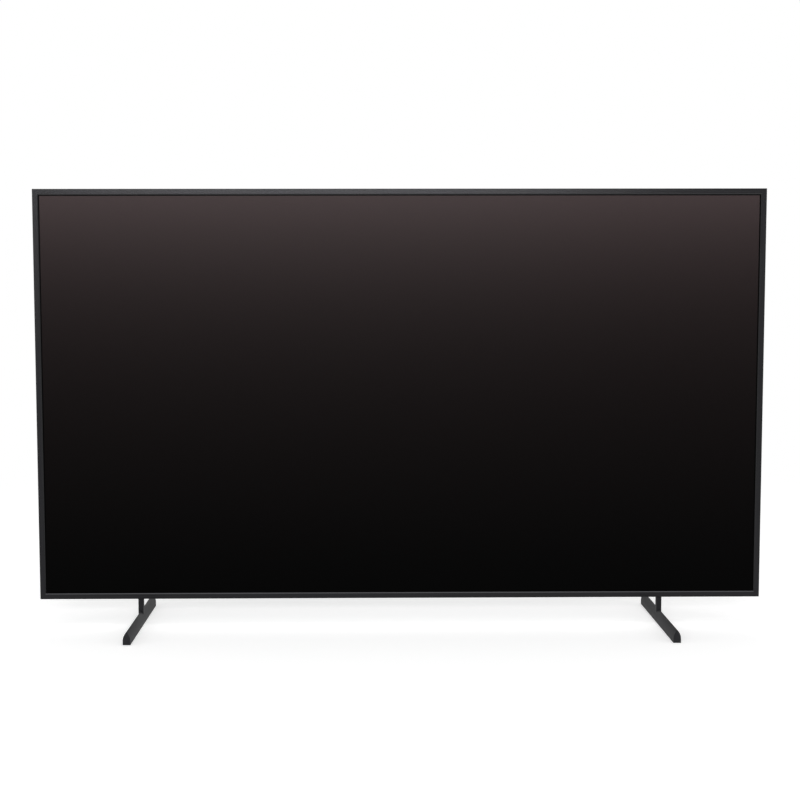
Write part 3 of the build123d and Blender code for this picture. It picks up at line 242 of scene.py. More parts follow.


# painted reflection of the studio light, lighter towards the top of the glass
painted_upper_glow = glass_math("MULTIPLY", glass_math("POWER", share_up, 6.0), 0.72)
painted_reflection = glass_math("MULTIPLY_ADD", glass_math("POWER", share_up, 1.5), 0.28, painted_upper_glow)
across = add_node(tree, "ShaderNodeMath", {0: sides.outputs["X"]}, operation="ABSOLUTE").outputs[0]
screen_middle = (screen_low.z + screen_high.z) / 2
off_middle = glass_math("SUBTRACT", sides.outputs["Z"], screen_middle)
off_middle = add_node(tree, "ShaderNodeMath", {0: off_middle}, operation="ABSOLUTE").outputs[0]
border_inset = 0.0064
in_picture = glass_math(
    "MULTIPLY",
    glass_math("LESS_THAN", across, screen_high.x - border_inset),
    glass_math("LESS_THAN", off_middle, screen_high.z - screen_middle - border_inset),
)
painted_reflection = glass_math("MULTIPLY", painted_reflection, in_picture)
speckle = stretched_noise(tree, (1800, 1800, 1800), detail=1.0)
# colours of the painted reflection: near black at the bottom and a warm grey at the top
tree.links.new(
    two_colours(tree, painted_reflection, (0.0002, 0.0002, 0.0002), (0.0545, 0.0405, 0.0411)),
    shader.inputs["Base Color"],
)
tree.links.new(spread(tree, speckle, 0.32, 0.345), shader.inputs["Roughness"])
print("screen from", round(screen_low.z, 4), "to", round(screen_high.z, 4))

# %% [markdown]
# ## Moulded plastics
# The rear cover comes from a mould whose walls were etched, so it has a fine even grain and a
# very faint flow of the colour. Two noises do it: a fine one for the grain's height and the
# roughness, and a broad one for the colour.


# %% Moulded plastic
def moulded(name, colour, roughness, grain=1400, depth=0.00006, specular=0.5):
    """Etched mould grain; colour is the middle of its faint variation"""
    material, tree, shader = start_material(name, colour, roughness, 0.0, specular)
    fine = stretched_noise(tree, (grain, grain, grain), detail=2.0)
    broad = stretched_noise(tree, (5, 5, 5), detail=2.0)
    darker = tuple(c * 0.86 for c in colour)
    lighter = tuple(c * 1.14 for c in colour)
    tree.links.new(
        two_colours(tree, spread(tree, broad, 0, 1), darker, lighter), shader.inputs["Base Color"]
    )
    tree.links.new(spread(tree, fine, roughness - 0.06, roughness + 0.06), shader.inputs["Roughness"])
    raise_grain(tree, shader, fine, depth, 0.7)
    return material


cover_plastic = moulded("cover_plastic", (0.022, 0.022, 0.024), 0.55)
plain_cover = moulded("plain_cover", (0.026, 0.026, 0.028), 0.5, grain=1700)
inner_moulding = moulded("black_moulding", (0.03, 0.03, 0.032), 0.6, grain=900)
button_plastic = moulded("button_plastic", (0.04, 0.04, 0.042), 0.36, grain=2200, depth=0.00002)
socket_plastic = moulded("black_socket", (0.02, 0.02, 0.02), 0.4, grain=1800, depth=0.00002)
foam = moulded("foam", (0.02, 0.02, 0.02), 0.9, grain=2600, depth=0.0002, specular=0.2)
pad_rubber = moulded("rubber", (0.018, 0.018, 0.018), 0.8, grain=1100, depth=0.0001, specular=0.3)
wire_sleeve = moulded("wire_sleeve", (0.05, 0.05, 0.05), 0.45, grain=500, depth=0.00003)
sleeve_film = moulded("capacitor_sleeve", (0.02, 0.025, 0.03), 0.25, grain=300, depth=0.00002)
white_film = moulded("white_film", (0.86, 0.86, 0.84), 0.45, grain=400, depth=0.00001)
ribbon_film = moulded("ribbon", (0.8, 0.8, 0.78), 0.4, grain=700, depth=0.00002)
white_board = moulded("white_board", (0.8, 0.81, 0.79), 0.42, grain=800, depth=0.00002)
print("moulded plastics", 12)

# %% [markdown]
# ## Metals inside and out
# Pressed steel shows the rolling direction of its sheet and plated screws are a little cloudy.
# One helper makes these metals from a stretched noise whose long axis is the rolling or
# brushing direction.


# %% Rolled, plated and painted metal
def rolled_metal(name, colour, roughness, stretch, metallic=1.0, depth=0.00002):
    """Metal with streaks along the axis whose number is small"""
    material, tree, shader = start_material(name, colour, roughness, metallic)
    streaks = stretched_noise(tree, stretch, detail=3.0)
    patches = stretched_noise(tree, (22, 22, 22), detail=2.0)
    darker = tuple(c * 0.82 for c in colour)
    tree.links.new(
        two_colours(tree, spread(tree, patches, 0, 1), darker, colour), shader.inputs["Base Color"]
    )
    tree.links.new(spread(tree, streaks, roughness - 0.07, roughness + 0.07), shader.inputs["Roughness"])
    raise_grain(tree, shader, streaks, depth, 0.5)
    return material


bare_aluminium = rolled_metal("bare_aluminium", (0.74, 0.75, 0.77), 0.34, (12, 900, 900))
pressed_steel = rolled_metal("pressed_steel", (0.55, 0.56, 0.57), 0.38, (8, 700, 700))
socket_metal = rolled_metal("socket_metal", (0.66, 0.66, 0.67), 0.26, (900, 40, 900))
zinc_plate = rolled_metal("zinc_plate", (0.55, 0.55, 0.56), 0.32, (500, 500, 500))
black_plate = rolled_metal("black_plate", (0.1, 0.1, 0.104), 0.34, (600, 600, 600), 0.8)
ferrite = rolled_metal("dark_ferrite", (0.06, 0.06, 0.065), 0.6, (700, 700, 700), 0.2, 0.00005)
contact_gold = rolled_metal("contact_gold", (0.72, 0.5, 0.2), 0.24, (900, 900, 900))
print("metals", 7)

# %% [markdown]
# ## The feet's paint
# Each foot is a die-cast blade in a dark grey satin paint. Sprayed paint levels out to a soft
# orange peel about two millimetres across, and it catches the light along the ridge. Rubbing
# has polished the ridge and the shoulders very slightly, which a mask on the normal's upward
# share adds.

# %% Foot paint
foot_paint, tree, shader = start_material("foot_paint", (0.02, 0.02, 0.022), 0.48, 0.1, 0.07)
peel = stretched_noise(tree, (420, 420, 420), detail=1.5)
dust = stretched_noise(tree, (60, 14, 60), detail=3.0)
facing = add_node(tree, "ShaderNodeTexCoord").outputs["Normal"]
upward = add_node(tree, "ShaderNodeSeparateXYZ", {0: facing}).outputs["Z"]
tree.links.new(
    two_colours(tree, spread(tree, dust, 0, 1), (0.017, 0.017, 0.019), (0.024, 0.024, 0.026)),
    shader.inputs["Base Color"],
)
rubbed = add_node(
    tree,
    "ShaderNodeMapRange",
    {"Value": upward, "From Min": 0.2, "From Max": 1.0, "To Min": 0.52, "To Max": 0.42},
).outputs[0]
tree.links.new(rubbed, shader.inputs["Roughness"])
raise_grain(tree, shader, peel, 0.00004, 0.6)
print("foot paint")

# %% [markdown]
# ## Circuit boards
# A board is glass fibre under green lacquer, with copper tracks that show through as lighter
# lines. A brick pattern with thin joints gives straight tracks of uneven length at the board's
# real pitch of about a millimetre, and a second one across it breaks them up.


# %% Board lacquer with tracks
def lacquered_board(name, ground, track):
    """Green lacquer over copper tracks in two directions"""
    material, tree, shader = start_material(name, ground, 0.35)
    place = add_node(tree, "ShaderNodeTexCoord").outputs["Object"]
    lines = []
    for turn, wide in ((0.0, 0.018), (math.pi / 2, 0.011)):
        lay = add_node(
            tree,
            "ShaderNodeMapping",
            {"Vector": place, "Rotation": (math.pi / 2, turn, 0.0)},
        )
        bricks = add_node(
            tree,
            "ShaderNodeTexBrick",
            {
                "Vector": lay.outputs[0],
                "Scale": 1.0,
                "Mortar Size": 0.0003,
                "Mortar Smooth": 0.1,
                "Brick Width": wide,
                "Row Height": 0.0023,
            },
        )
        lines.append(bricks.outputs["Fac"])
    tracks = add_node(tree, "ShaderNodeMath", {0: lines[0], 1: lines[1]}, operation="MAXIMUM").outputs[0]
    tree.links.new(two_colours(tree, tracks, ground, track), shader.inputs["Base Color"])
    raise_grain(tree, shader, tracks, 0.00004, 0.5)
    return material


green_board = lacquered_board("green_board", (0.03, 0.15, 0.08), (0.08, 0.3, 0.16))
print("board lacquer")

# %% [markdown]
# ## Clear and tinted plastics
# The light guide is a clear acrylic plate with a dot print that scatters light, the driver films
# are amber, and the window over the remote sensor is smoked red-black. Each one lets some light
# through, with a low roughness.


# %% Clear and tinted plastics
def tinted(name, colour, roughness, through):
    """A plastic that lets a share of the light through, with faint waves in its face"""
    material, tree, shader = start_material(name, colour, roughness)
    shader.inputs["Transmission Weight"].default_value = through
    shader.inputs["IOR"].default_value = 1.49
    waves = stretched_noise(tree, (60, 60, 60), detail=1.0)
    tree.links.new(spread(tree, waves, roughness, roughness + 0.06), shader.inputs["Roughness"])
    raise_grain(tree, shader, waves, 0.00002, 0.3)
    return material


clear_acrylic = tinted("clear_acrylic", (0.86, 0.89, 0.9), 0.06, 0.85)
amber_film = tinted("amber_film", (0.45, 0.22, 0.05), 0.25, 0.3)
smoked_window = tinted("smoked_window", (0.03, 0.006, 0.008), 0.08, 0.15)
print("tinted plastics", 3)

# %% [markdown]
# ## Which finish goes where
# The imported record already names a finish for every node, so most nodes follow it by name. Only
# the frame's rails need their own brushing direction, and the loose cover over the sockets has
# the plain grain, so that it reads as a piece of its own.

# %% Give every node its finish
FINISHES = {
    "bare_aluminium": bare_aluminium,
    "screen_glass": screen_glass,
    "foam": foam,
    "black_moulding": inner_moulding,
    "white_film": white_film,
    "clear_acrylic": clear_acrylic,
    "pressed_steel": pressed_steel,
    "white_board": white_board,
    "green_board": green_board,
    "amber_film": amber_film,
    "dark_ferrite": ferrite,
    "capacitor_sleeve": sleeve_film,
    "socket_metal": socket_metal,
    "black_socket": socket_plastic,
    "cover_plastic": cover_plastic,
    "button_plastic": button_plastic,
    "smoked_window": smoked_window,
    "wire_sleeve": wire_sleeve,
    "ribbon": ribbon_film,
    "zinc_screw": zinc_plate,
    "black_screw": black_plate,
    "foot_paint": foot_paint,
    "rubber": pad_rubber,
}
OWN_FINISHES = {
    "terminal_cover": plain_cover,
    "bezel_top": level_metal,
    "bezel_bottom": level_metal,
    "bezel_left": upright_metal,
    "bezel_right": upright_metal,
}
for part in frame["record"]["subparts"]:
    piece = nodes[part["node"]]
    finish = OWN_FINISHES.get(part["node"]) or FINISHES[part["material_slot"]]
    piece.data.materials.clear()
    piece.data.materials.append(finish)

# %% [markdown]
# ## Screws
# The set is held by a few dozen small screws with a cross recess. In CAD they are plain
# six-sided studs in the right places. Here Geometry Nodes make one round screw, cut the cross
# into its head, and set a copy on every place. The places come from the studs themselves, so
# the screws can't drift from their holes.


# %% Places of a node's separate lumps
def lump_boxes(name):
    """The lowest and highest corner of each separate lump of a node"""
    copy = bmesh.new()
    copy.from_mesh(nodes[name].data)
    bmesh.ops.remove_doubles(copy, verts=copy.verts, dist=1e-6)
    left, boxes = set(copy.verts), []
    while left:
        group, edge = set(), [left.pop()]
        while edge:
            vertex = edge.pop()
            group.add(vertex)
            for line in vertex.link_edges:
                other = line.other_vert(vertex)
                if other in left:
                    left.remove(other)
                    edge.append(other)
        corners = [vertex.co for vertex in group]
        low = Vector(min(c[axis] for c in corners) for axis in range(3))
        high = Vector(max(c[axis] for c in corners) for axis in range(3))
        boxes.append((low, high))
    copy.free()
    return boxes


def point_mesh(name, places):
    """An object whose vertices are the places"""
    mesh = bpy.data.meshes.new(name)
    mesh.from_pydata([tuple(place) for place in places], [], [])
    made = bpy.data.objects.new(name, mesh)
    bpy.context.scene.collection.objects.link(made)
    return made


def start_tree(name, sizes):
    """A Geometry Nodes tree with a geometry input and output and a named input for each size"""
    tree = bpy.data.node_groups.new(name, "GeometryNodeTree")
    tree.interface.new_socket("Geometry", in_out="INPUT", socket_type="NodeSocketGeometry")
    for size, kind in sizes.items():
        tree.interface.new_socket(size, in_out="INPUT", socket_type=kind)
    tree.interface.new_socket("Geometry", in_out="OUTPUT", socket_type="NodeSocketGeometry")
    return tree, tree.nodes.new("NodeGroupInput"), tree.nodes.new("NodeGroupOutput")


def make_plain(carrier, tree, values):
    """Run a tree on a carrier object with its inputs set, and keep the result as a plain mesh"""
    modifier = carrier.modifiers.new(tree.name, "NODES")
    modifier.node_group = tree
    for item in tree.interface.items_tree:
        if item.item_type == "SOCKET" and item.in_out == "INPUT" and item.name in values:
            modifier[item.identifier] = values[item.name]
    evaluated = carrier.evaluated_get(bpy.context.evaluated_depsgraph_get())
    mesh = bpy.data.meshes.new_from_object(evaluated)
    carrier.modifiers.remove(modifier)
    carrier.data = mesh
    return carrier


# %% One tree for every cross-recess screw
screw_tree, given, result = start_tree(
    "cross_recess_screw",
    {
        "Head Radius": "NodeSocketFloat",
        "Head Height": "NodeSocketFloat",
        "Shaft Radius": "NodeSocketFloat",
        "Shaft Length": "NodeSocketFloat",
        "Recess Share": "NodeSocketFloat",
        "Finish": "NodeSocketMaterial",
    },
)


def times(value, share):
    """A size multiplied by a share"""
    return add_node(screw_tree, "ShaderNodeMath", {0: value, 1: share}, operation="MULTIPLY").outputs[0]


def along_screw(value):
    """A vector along the screw's own axis"""
    return add_node(screw_tree, "ShaderNodeCombineXYZ", {"Z": value}).outputs[0]


def shifted(geometry, value):
    """The geometry moved along the screw's axis"""
    return add_node(
        screw_tree,
        "GeometryNodeTransform",
        {"Geometry": geometry, "Translation": along_screw(value)},
    ).outputs[0]


head = add_node(
    screw_tree,
    "GeometryNodeMeshCylinder",
    {"Vertices": 28, "Radius": given.outputs["Head Radius"], "Depth": given.outputs["Head Height"]},
)
head = shifted(head.outputs[0], times(given.outputs["Head Height"], 0.5))
shaft = add_node(
    screw_tree,
    "GeometryNodeMeshCylinder",
    {"Vertices": 16, "Radius": given.outputs["Shaft Radius"], "Depth": given.outputs["Shaft Length"]},
)
shaft = shifted(shaft.outputs[0], times(given.outputs["Shaft Length"], -0.5))
arm_length = times(times(given.outputs["Head Radius"], 2.0), given.outputs["Recess Share"])
arm_width = times(arm_length, 0.26)
cutters = add_node(screw_tree, "GeometryNodeJoinGeometry")
for length, width in ((arm_length, arm_width), (arm_width, arm_length)):
    size = add_node(
        screw_tree,
        "ShaderNodeCombineXYZ",
        {"X": length, "Y": width, "Z": given.outputs["Head Height"]},
    )
    arm = add_node(screw_tree, "GeometryNodeMeshCube", {"Size": size.outputs[0]})
    screw_tree.links.new(shifted(arm.outputs[0], given.outputs["Head Height"]), cutters.inputs[0])
recess = add_node(
    screw_tree, "GeometryNodeMeshBoolean", {0: head}, operation="DIFFERENCE", solver="MANIFOLD"
)
screw_tree.links.new(cutters.outputs[0], recess.inputs["Mesh 2"])
whole = add_node(screw_tree, "GeometryNodeJoinGeometry")
for piece in (recess.outputs["Mesh"], shaft):
    screw_tree.links.new(piece, whole.inputs[0])
turned = add_node(
    screw_tree,
    "GeometryNodeInstanceOnPoints",
    {
        "Points": given.outputs["Geometry"],
        "Instance": whole.outputs[0],
        "Rotation": (-math.pi / 2, 0.0, 0.0),
    },
)
real = add_node(screw_tree, "GeometryNodeRealizeInstances", {"Geometry": turned.outputs[0]})
coated = add_node(
    screw_tree,
    "GeometryNodeSetMaterial",
    {"Geometry": real.outputs[0], "Material": given.outputs["Finish"]},
)
screw_tree.links.new(coated.outputs[0], result.inputs[0])
print("screw tree nodes", len(screw_tree.nodes))

# %% Screws in place of the plain studs
SCREW_SETS = (
    ("rear_cover_screws", 0.0029, 0.0018, 0.0015, "black_screw", black_plate),
    ("board_screws", 0.0029, 0.0018, 0.0015, "zinc_screw", zinc_plate),
    ("foot_clamp_screws", 0.0039, 0.002, 0.002, "black_screw", black_plate),
)
for node, head_radius, head_height, shaft_radius, slot, finish in SCREW_SETS:
    lumps = lump_boxes(node)
    places = [((low.x + high.x) / 2, high.y - head_height, (low.z + high.z) / 2) for low, high in lumps]
    screws = make_plain(
        point_mesh(f"{node}_round", places),
        screw_tree,
        {
            "Head Radius": head_radius,
            "Head Height": head_height,
            "Shaft Radius": shaft_radius,
            "Shaft Length": lumps[0][1].y - lumps[0][0].y - head_height,
            "Recess Share": 0.6,
            "Finish": finish,
        },
    )
    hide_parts(node)
    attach(screws, "tv_body")
    print(node, len(places), "screws", len(screws.data.polygons), "faces")

# %% [markdown]
# ## Contacts in the sockets
# Each socket has a row of gold-plated contacts: nineteen in a digital picture socket, four in a
# serial one and eight springs in the network one. A mesh line gives the row's places and a
# small bar is set on each, so one tree with a count and a pitch makes all three.

# %% One tree for a row of contacts
row_tree, given, result = start_tree(
    "contact_row",
    {
        "Count": "NodeSocketInt",
        "Pitch": "NodeSocketFloat",
        "Bar Length": "NodeSocketFloat",
        "Bar Width": "NodeSocketFloat",
        "Bar Thickness": "NodeSocketFloat",
        "Finish": "NodeSocketMaterial",
    },
)
gaps = add_node(row_tree, "ShaderNodeMath", {0: given.outputs["Count"], 1: 1.0}, operation="SUBTRACT")
half_run = add_node(
    row_tree, "ShaderNodeMath", {0: gaps.outputs[0], 1: given.outputs["Pitch"]}, operation="MULTIPLY"
)
first = add_node(row_tree, "ShaderNodeMath", {0: half_run.outputs[0], 1: -0.5}, operation="MULTIPLY")
line = add_node(
    row_tree,
    "GeometryNodeMeshLine",
    {
        "Count": given.outputs["Count"],
        "Start Location": add_node(row_tree, "ShaderNodeCombineXYZ", {"Z": first.outputs[0]}).outputs[0],
        "Offset": add_node(row_tree, "ShaderNodeCombineXYZ", {"Z": given.outputs["Pitch"]}).outputs[0],
    },
)
bar_size = add_node(
    row_tree,
    "ShaderNodeCombineXYZ",
    {
        "X": given.outputs["Bar Length"],
        "Y": given.outputs["Bar Thickness"],
        "Z": given.outputs["Bar Width"],
    },
)
bar = add_node(row_tree, "GeometryNodeMeshCube", {"Size": bar_size.outputs[0]})
bars = add_node(
    row_tree, "GeometryNodeInstanceOnPoints", {"Points": line.outputs[0], "Instance": bar.outputs[0]}
)
rows = add_node(
    row_tree,
    "GeometryNodeInstanceOnPoints",
    {"Points": given.outputs["Geometry"], "Instance": bars.outputs[0]},
)
real = add_node(row_tree, "GeometryNodeRealizeInstances", {"Geometry": rows.outputs[0]})
gilt = add_node(
    row_tree,
    "GeometryNodeSetMaterial",
    {"Geometry": real.outputs[0], "Material": given.outputs["Finish"]},
)
row_tree.links.new(gilt.outputs[0], result.inputs[0])
print("contact tree nodes", len(row_tree.nodes))

# %% Contacts in place
# name, node, count, pitch, length, width, thickness, inwards from the mouth, off the middle
CONTACTS = (
    ("picture_contacts", "hdmi_sockets", 19, 0.0005, 0.006, 0.00028, 0.00016, 0.006, -0.0007),
    ("serial_contacts", "usb_sockets", 4, 0.0024, 0.007, 0.001, 0.0002, 0.0065, -0.00098),
    ("network_contacts", "lan_socket", 8, 0.00102, 0.009, 0.0004, 0.0003, 0.0075, 0.0033),
)
for name, node, count, pitch, length, width, thick, inwards, off in CONTACTS:
    boxes = lump_boxes(node)
    places = [(high.x - inwards, (low.y + high.y) / 2 + off, (low.z + high.z) / 2) for low, high in boxes]
    contacts = make_plain(
        point_mesh(name, places),
        row_tree,
        {
            "Count": count,
            "Pitch": pitch,
            "Bar Length": length,
            "Bar Width": width,
            "Bar Thickness": thick,
            "Finish": contact_gold,
        },
    )
    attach(contacts, "tv_body")
    print(name, "rows", len(places), "faces", len(contacts.data.polygons))

# %% [markdown]
# ## Pins in the mains inlet
# The mains inlet holds two round pins, which in CAD belong to its plastic body. On the real one
# they are nickel-plated brass, so each gets a thin metal sleeve. The pins stand level, so the
# cylinder, which Blender makes upright, is turned onto the X axis before it is set in place.

# %% Metal sleeves on the inlet's pins
pin_tree, given, result = start_tree(
    "inlet_pins",
    {"Radius": "NodeSocketFloat", "Length": "NodeSocketFloat", "Finish": "NodeSocketMaterial"},
)
rod = add_node(
    pin_tree,
    "GeometryNodeMeshCylinder",
    {"Vertices": 24, "Radius": given.outputs["Radius"], "Depth": given.outputs["Length"]},
)
level_rods = add_node(
    pin_tree,
    "GeometryNodeInstanceOnPoints",
    {
        "Points": given.outputs["Geometry"],
        "Instance": rod.outputs[0],
        "Rotation": (0.0, math.pi / 2, 0.0),
    },
)
real = add_node(pin_tree, "GeometryNodeRealizeInstances", {"Geometry": level_rods.outputs[0]})
plated = add_node(
    pin_tree,
    "GeometryNodeSetMaterial",
    {"Geometry": real.outputs[0], "Material": given.outputs["Finish"]},
)
pin_tree.links.new(plated.outputs[0], result.inputs[0])
inlet_low, inlet_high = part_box("ac_inlet")
sleeve_length, pin_setback = 0.0094, 0.00196
inlet_middle = (inlet_low + inlet_high) / 2
pin_places = [
    (inlet_low.x + pin_setback + sleeve_length / 2, inlet_middle.y, inlet_middle.z + side * 0.0043)
    for side in (-1, 1)
]
inlet_pins = make_plain(
    point_mesh("inlet_pins", pin_places),
    pin_tree,
    {"Radius": 0.00124, "Length": sleeve_length, "Finish": socket_metal},
)
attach(inlet_pins, "tv_body")
print("inlet pins", len(pin_places), "faces", len(inlet_pins.data.polygons))

# %% [markdown]
# ## Dust net behind the vents
# A net of black threads lies against the inside of the rear cover, behind each group of slots.
# It keeps dust off the boards, and one sees a fine dark weave there instead of bright steel. A
# net is two rows of equal threads that cross, and each row is one bar set along a mesh line, so
# the tree needs only the net's width and height, the pitch and the thread.

# %% One tree for a net of threads
net_tree, given, result = start_tree(
    "dust_net",
    {
        "Width": "NodeSocketFloat",
        "Height": "NodeSocketFloat",
        "Pitch": "NodeSocketFloat",
        "Thread": "NodeSocketFloat",
        "Finish": "NodeSocketMaterial",
    },
)


def net_math(operation, first, second=0.0):
    """One step of arithmetic in the net's tree"""
    return add_node(net_tree, "ShaderNodeMath", {0: first, 1: second}, operation=operation).outputs[0]


def thread_row(run, length, line_axis, thread_axis, lift):
    """Equal threads spread evenly over a run"""
    gaps = net_math("FLOOR", net_math("DIVIDE", run, given.outputs["Pitch"]))
    start = net_math("MULTIPLY", net_math("MULTIPLY", gaps, given.outputs["Pitch"]), -0.5)
    first = add_node(net_tree, "ShaderNodeCombineXYZ", {line_axis: start, "Y": lift})
    step = add_node(net_tree, "ShaderNodeCombineXYZ", {line_axis: given.outputs["Pitch"]})
    line = add_node(
        net_tree,
        "GeometryNodeMeshLine",
        {
            "Count": net_math("ADD", gaps, 1.0),
            "Start Location": first.outputs[0],
            "Offset": step.outputs[0],
        },
    )
    sizes = {axis: given.outputs["Thread"] for axis in "XYZ"}
    sizes[thread_axis] = length
    size = add_node(net_tree, "ShaderNodeCombineXYZ", sizes)
    thread = add_node(net_tree, "GeometryNodeMeshCube", {"Size": size.outputs[0]})
    return add_node(
        net_tree,
        "GeometryNodeInstanceOnPoints",
        {"Points": line.outputs[0], "Instance": thread.outputs[0]},
    ).outputs[0]


crossed = add_node(net_tree, "GeometryNodeJoinGeometry")
over = net_math("MULTIPLY", given.outputs["Thread"], 0.7)
for row in (
    thread_row(given.outputs["Width"], given.outputs["Height"], "X", "Z", 0.0),
    thread_row(given.outputs["Height"], given.outputs["Width"], "Z", "X", over),
):
    net_tree.links.new(row, crossed.inputs[0])
placed = add_node(
    net_tree,
    "GeometryNodeInstanceOnPoints",
    {"Points": given.outputs["Geometry"], "Instance": crossed.outputs[0]},
)
real = add_node(net_tree, "GeometryNodeRealizeInstances", {"Geometry": placed.outputs[0]})
dyed = add_node(
    net_tree,
    "GeometryNodeSetMaterial",
    {"Geometry": real.outputs[0], "Material": given.outputs["Finish"]},
)
net_tree.links.new(dyed.outputs[0], result.inputs[0])
print("net tree nodes", len(net_tree.nodes))

# %% Nets in place
cover_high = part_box("rear_cover")[1]
vent_middles = [(side * 0.2, cover_high.y - 0.0028, cover_high.z - 0.0797) for side in (-1, 1)]
dust_net = make_plain(
    point_mesh("dust_net", vent_middles),
    net_tree,
    {"Width": 0.13, "Height": 0.041, "Pitch": 0.0013, "Thread": 0.00045, "Finish": inner_moulding},
)
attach(dust_net, "tv_body")
print("dust net faces", len(dust_net.data.polygons), "first middle", vent_middles[0])

# %% [markdown]
# ## Level ridges on the rear cover
# Fine level ridges run over the rear cover's outer face, as on many sets, to keep so wide a face
# from looking wavy. Each is 3.2 mm wide and stands out by a quarter of a millimetre. They stop
# short of every opening, so each row is cut into runs: a level line is laid across the outer
# face's polygons at five heights of the row, and a run is where all five lie on the face. One
# tree then sets a flattened rod on the middle of each run, half sunk in the face.


# %% Where each row's runs lie
def level_runs(faces, height):
    """The stretches of a level line that lie on the faces, in order"""
    found = []
    for corners in faces:
        crossings = []
        for (x1, z1), (x2, z2) in zip(corners, corners[1:] + corners[:1]):
            if (z1 > height) != (z2 > height):
                crossings.append(x1 + (height - z1) / (z2 - z1) * (x2 - x1))
        crossings.sort()
        found.extend(zip(crossings[::2], crossings[1::2]))
    joined = []
    for start, end in sorted(found):
        if joined and start < joined[-1][1] + 1e-5:
            joined[-1][1] = max(joined[-1][1], end)
        else:
            joined.append([start, end])
    return joined


def shared(first, second):
    """The stretches that two lists have in common"""
    pairs = [(max(a, c), min(b, d)) for a, b in first for c, d in second]
    return [(start, end) for start, end in pairs if start < end]


cover_mesh = nodes["rear_cover"].data
outer_faces = []
for polygon in cover_mesh.polygons:
    corners = [cover_mesh.vertices[i].co for i in polygon.vertices]
    if polygon.normal.y > 0.99 and min(corner.y for corner in corners) > cover_high.y - 0.0001:
        outer_faces.append([(corner.x, corner.z) for corner in corners])
ROW_PITCH, RIDGE_WIDTH, RIDGE_RISE, END_GAP = 0.008, 0.0032, 0.00025, 0.0015
face_low = min(z for corners in outer_faces for x, z in corners)
face_high = max(z for corners in outer_faces for x, z in corners)
row_count = int((face_high - face_low - 2 * ROW_PITCH) / ROW_PITCH)
first_row = (face_low + face_high - row_count * ROW_PITCH) / 2
run_middles, run_lengths = [], []
for row in range(row_count + 1):
    height = first_row + row * ROW_PITCH
    runs = level_runs(outer_faces, height)
    for share in (-0.8, -0.4, 0.4, 0.8):
        runs = shared(runs, level_runs(outer_faces, height + share * RIDGE_WIDTH))
    for start, end in runs:
        length = end - start - 2 * END_GAP
        if length > 0.012:
            run_middles.append(((start + end) / 2, cover_high.y, height))
            run_lengths.append(length)
print("rows", row_count + 1, "runs", len(run_middles), "shortest", round(min(run_lengths), 4))

# %% One tree for the ridges, set on every run
ridge_tree, given, result = start_tree(
    "level_ridge",
    {"Half Width": "NodeSocketFloat", "Rise": "NodeSocketFloat", "Finish": "NodeSocketMaterial"},
)
rod = add_node(ridge_tree, "GeometryNodeMeshCylinder", {"Vertices": 12, "Radius": 1.0, "Depth": 1.0})
run_length = add_node(ridge_tree, "GeometryNodeInputNamedAttribute", {"Name": "run"}, data_type="FLOAT")
rod_size = add_node(
    ridge_tree,
    "ShaderNodeCombineXYZ",
    {
        "X": given.outputs["Half Width"],
        "Y": given.outputs["Rise"],
        "Z": run_length.outputs["Attribute"],
    },
)
laid = add_node(
    ridge_tree,
    "GeometryNodeInstanceOnPoints",
    {
        "Points": given.outputs["Geometry"],
        "Instance": rod.outputs["Mesh"],
        "Rotation": (0.0, math.pi / 2, 0.0),
        "Scale": rod_size.outputs[0],
    },
)
real = add_node(ridge_tree, "GeometryNodeRealizeInstances", {"Geometry": laid.outputs[0]})
moulded_in = add_node(
    ridge_tree,
    "GeometryNodeSetMaterial",
    {"Geometry": real.outputs[0], "Material": given.outputs["Finish"]},
)
ridge_tree.links.new(moulded_in.outputs[0], result.inputs[0])
carrier = point_mesh("cover_ridges", run_middles)
carrier.data.attributes.new("run", "FLOAT", "POINT").data.foreach_set("value", run_lengths)
cover_ridges = make_plain(
    carrier,
    ridge_tree,
    {"Half Width": RIDGE_WIDTH / 2, "Rise": RIDGE_RISE, "Finish": cover_plastic},
)
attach(cover_ridges, "tv_body")
print("ridge faces", len(cover_ridges.data.polygons))

# %% [markdown]
# ## Floor and background
# The photograph's background is plain white. The floor here is a wide pale sheet. Near the set
# it is really lit, so it keeps the set's soft shadow; further out it turns into an even white
# for the rays that are seen or mirrored, so that no horizon shows. The world does the same, and
# gives the object only a plain level of light.

# %% Floor
floor_mesh = bpy.data.meshes.new("pale_floor")
reach = 40.0
floor_mesh.from_pydata(
    [(-reach, -reach, 0), (reach, -reach, 0), (reach, reach, 0), (-reach, reach, 0)],
    [],
    [(0, 1, 2, 3)],
)
floor = bpy.data.objects.new("pale_floor", floor_mesh)
bpy.context.scene.collection.objects.link(floor)
paper, tree, shader = start_material("pale_paper", (0.86, 0.86, 0.86), 0.9, 0.0, 0.1)


def seen_ray(tree):
    """1 for rays from the camera, from a mirror or through glass, else 0"""
    path = add_node(tree, "ShaderNodeLightPath")
    direct = add_node(
        tree,
        "ShaderNodeMath",
        {0: path.outputs["Is Camera Ray"], 1: path.outputs["Is Glossy Ray"]},
        operation="MAXIMUM",
    )
    return add_node(
        tree,
        "ShaderNodeMath",
        {0: direct.outputs[0], 1: path.outputs["Is Transmission Ray"]},
        operation="MAXIMUM",
    ).outputs[0]


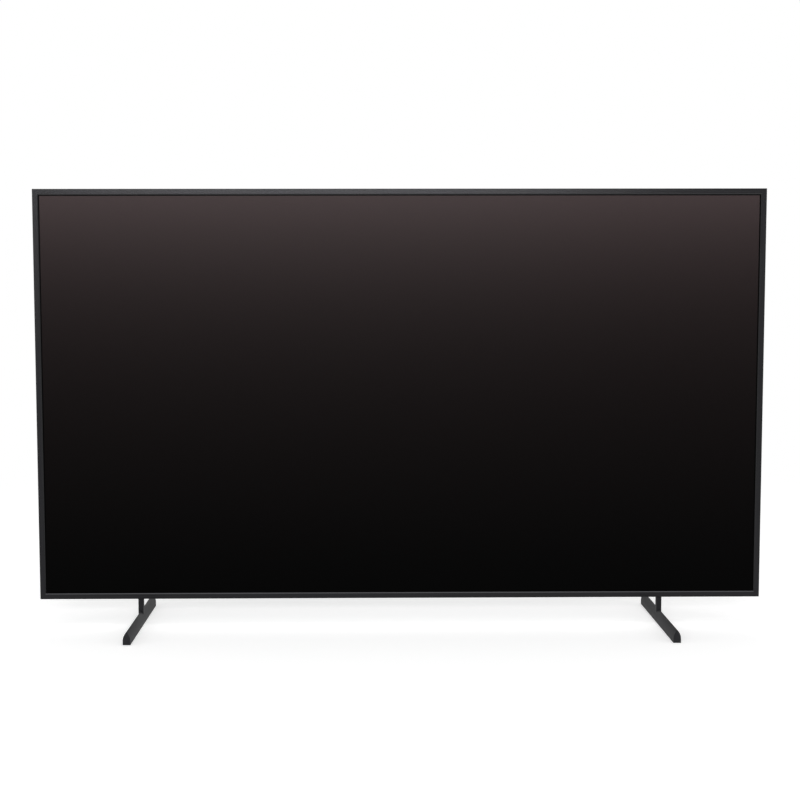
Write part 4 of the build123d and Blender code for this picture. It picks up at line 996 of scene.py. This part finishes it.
place = add_node(tree, "ShaderNodeTexCoord").outputs["Object"]
far = add_node(tree, "ShaderNodeVectorMath", {0: place}, operation="LENGTH").outputs["Value"]
fade = add_node(
    tree,
    "ShaderNodeMapRange",
    {"Value": far, "From Min": 0.75, "From Max": 1.9},
    interpolation_type="SMOOTHSTEP",
).outputs[0]
seen = seen_ray(tree)
white = add_node(tree, "ShaderNodeEmission", {"Strength": 1.0})
lift_level = add_node(tree, "ShaderNodeMath", {0: seen, 1: 0.4}, operation="MULTIPLY")
lift = add_node(tree, "ShaderNodeEmission", {"Strength": lift_level.outputs[0]})
near = add_node(tree, "ShaderNodeAddShader", {0: shader.outputs[0], 1: lift.outputs[0]})
fade_seen = add_node(tree, "ShaderNodeMath", {0: fade, 1: seen}, operation="MULTIPLY")
both = add_node(tree, "ShaderNodeMixShader", {0: fade_seen.outputs[0], 1: near.outputs[0], 2: white.outputs[0]})
tree.links.new(both.outputs[0], tree.nodes["Material Output"].inputs["Surface"])
floor_mesh.materials.append(paper)
print("floor", reach * 2, "m wide")

# %% World
world = bpy.data.worlds.new("studio")
bpy.context.scene.world = world
world.use_nodes = True
tree = world.node_tree
level = add_node(
    tree,
    "ShaderNodeMapRange",
    {"Value": seen_ray(tree), "To Min": 0.42, "To Max": 1.0},
).outputs[0]
backdrop = tree.nodes["Background"]
tree.links.new(level, backdrop.inputs["Strength"])
backdrop.inputs["Color"].default_value = (1, 1, 1, 1)
print("world ready")

# %% [markdown]
# ## Lamps
# A soft lamp hangs in front and above, and lies as a faint glow on the upper screen. Two weaker
# ones stand at the sides so that the thin rails keep their edges, one is overhead for the soft
# shadow under the blades, and one behind keeps the rear cover readable.


# %% Lamps
def soft_lamp(name, place, aim, width, height, watts):
    """A rectangular area lamp turned towards a point"""
    data = bpy.data.lights.new(name, "AREA")
    data.shape = "RECTANGLE"
    data.size, data.size_y, data.energy = width, height, watts
    lamp = bpy.data.objects.new(name, data)
    lamp.location = place
    lamp.rotation_euler = (Vector(aim) - Vector(place)).to_track_quat("-Z", "Y").to_euler()
    bpy.context.scene.collection.objects.link(lamp)
    return lamp


soft_lamp("front_lamp", (-0.25, -2.7, 1.1), (-0.25, 0, 0.5), 2.1, 0.32, 34)
soft_lamp("overhead_lamp", (0.1, -0.4, 2.6), (0, 0, 0), 2.4, 1.6, 14)
soft_lamp("left_lamp", (-2.4, -0.9, 1.1), (-0.3, 0, 0.3), 0.8, 1.4, 7)
soft_lamp("right_lamp", (2.4, -0.9, 1.1), (0.3, 0, 0.3), 0.8, 1.4, 7)
soft_lamp("rear_lamp", (0.6, 2.6, 1.7), (0, 0, 0.4), 1.6, 1.0, 22)
print("lamps", 5)
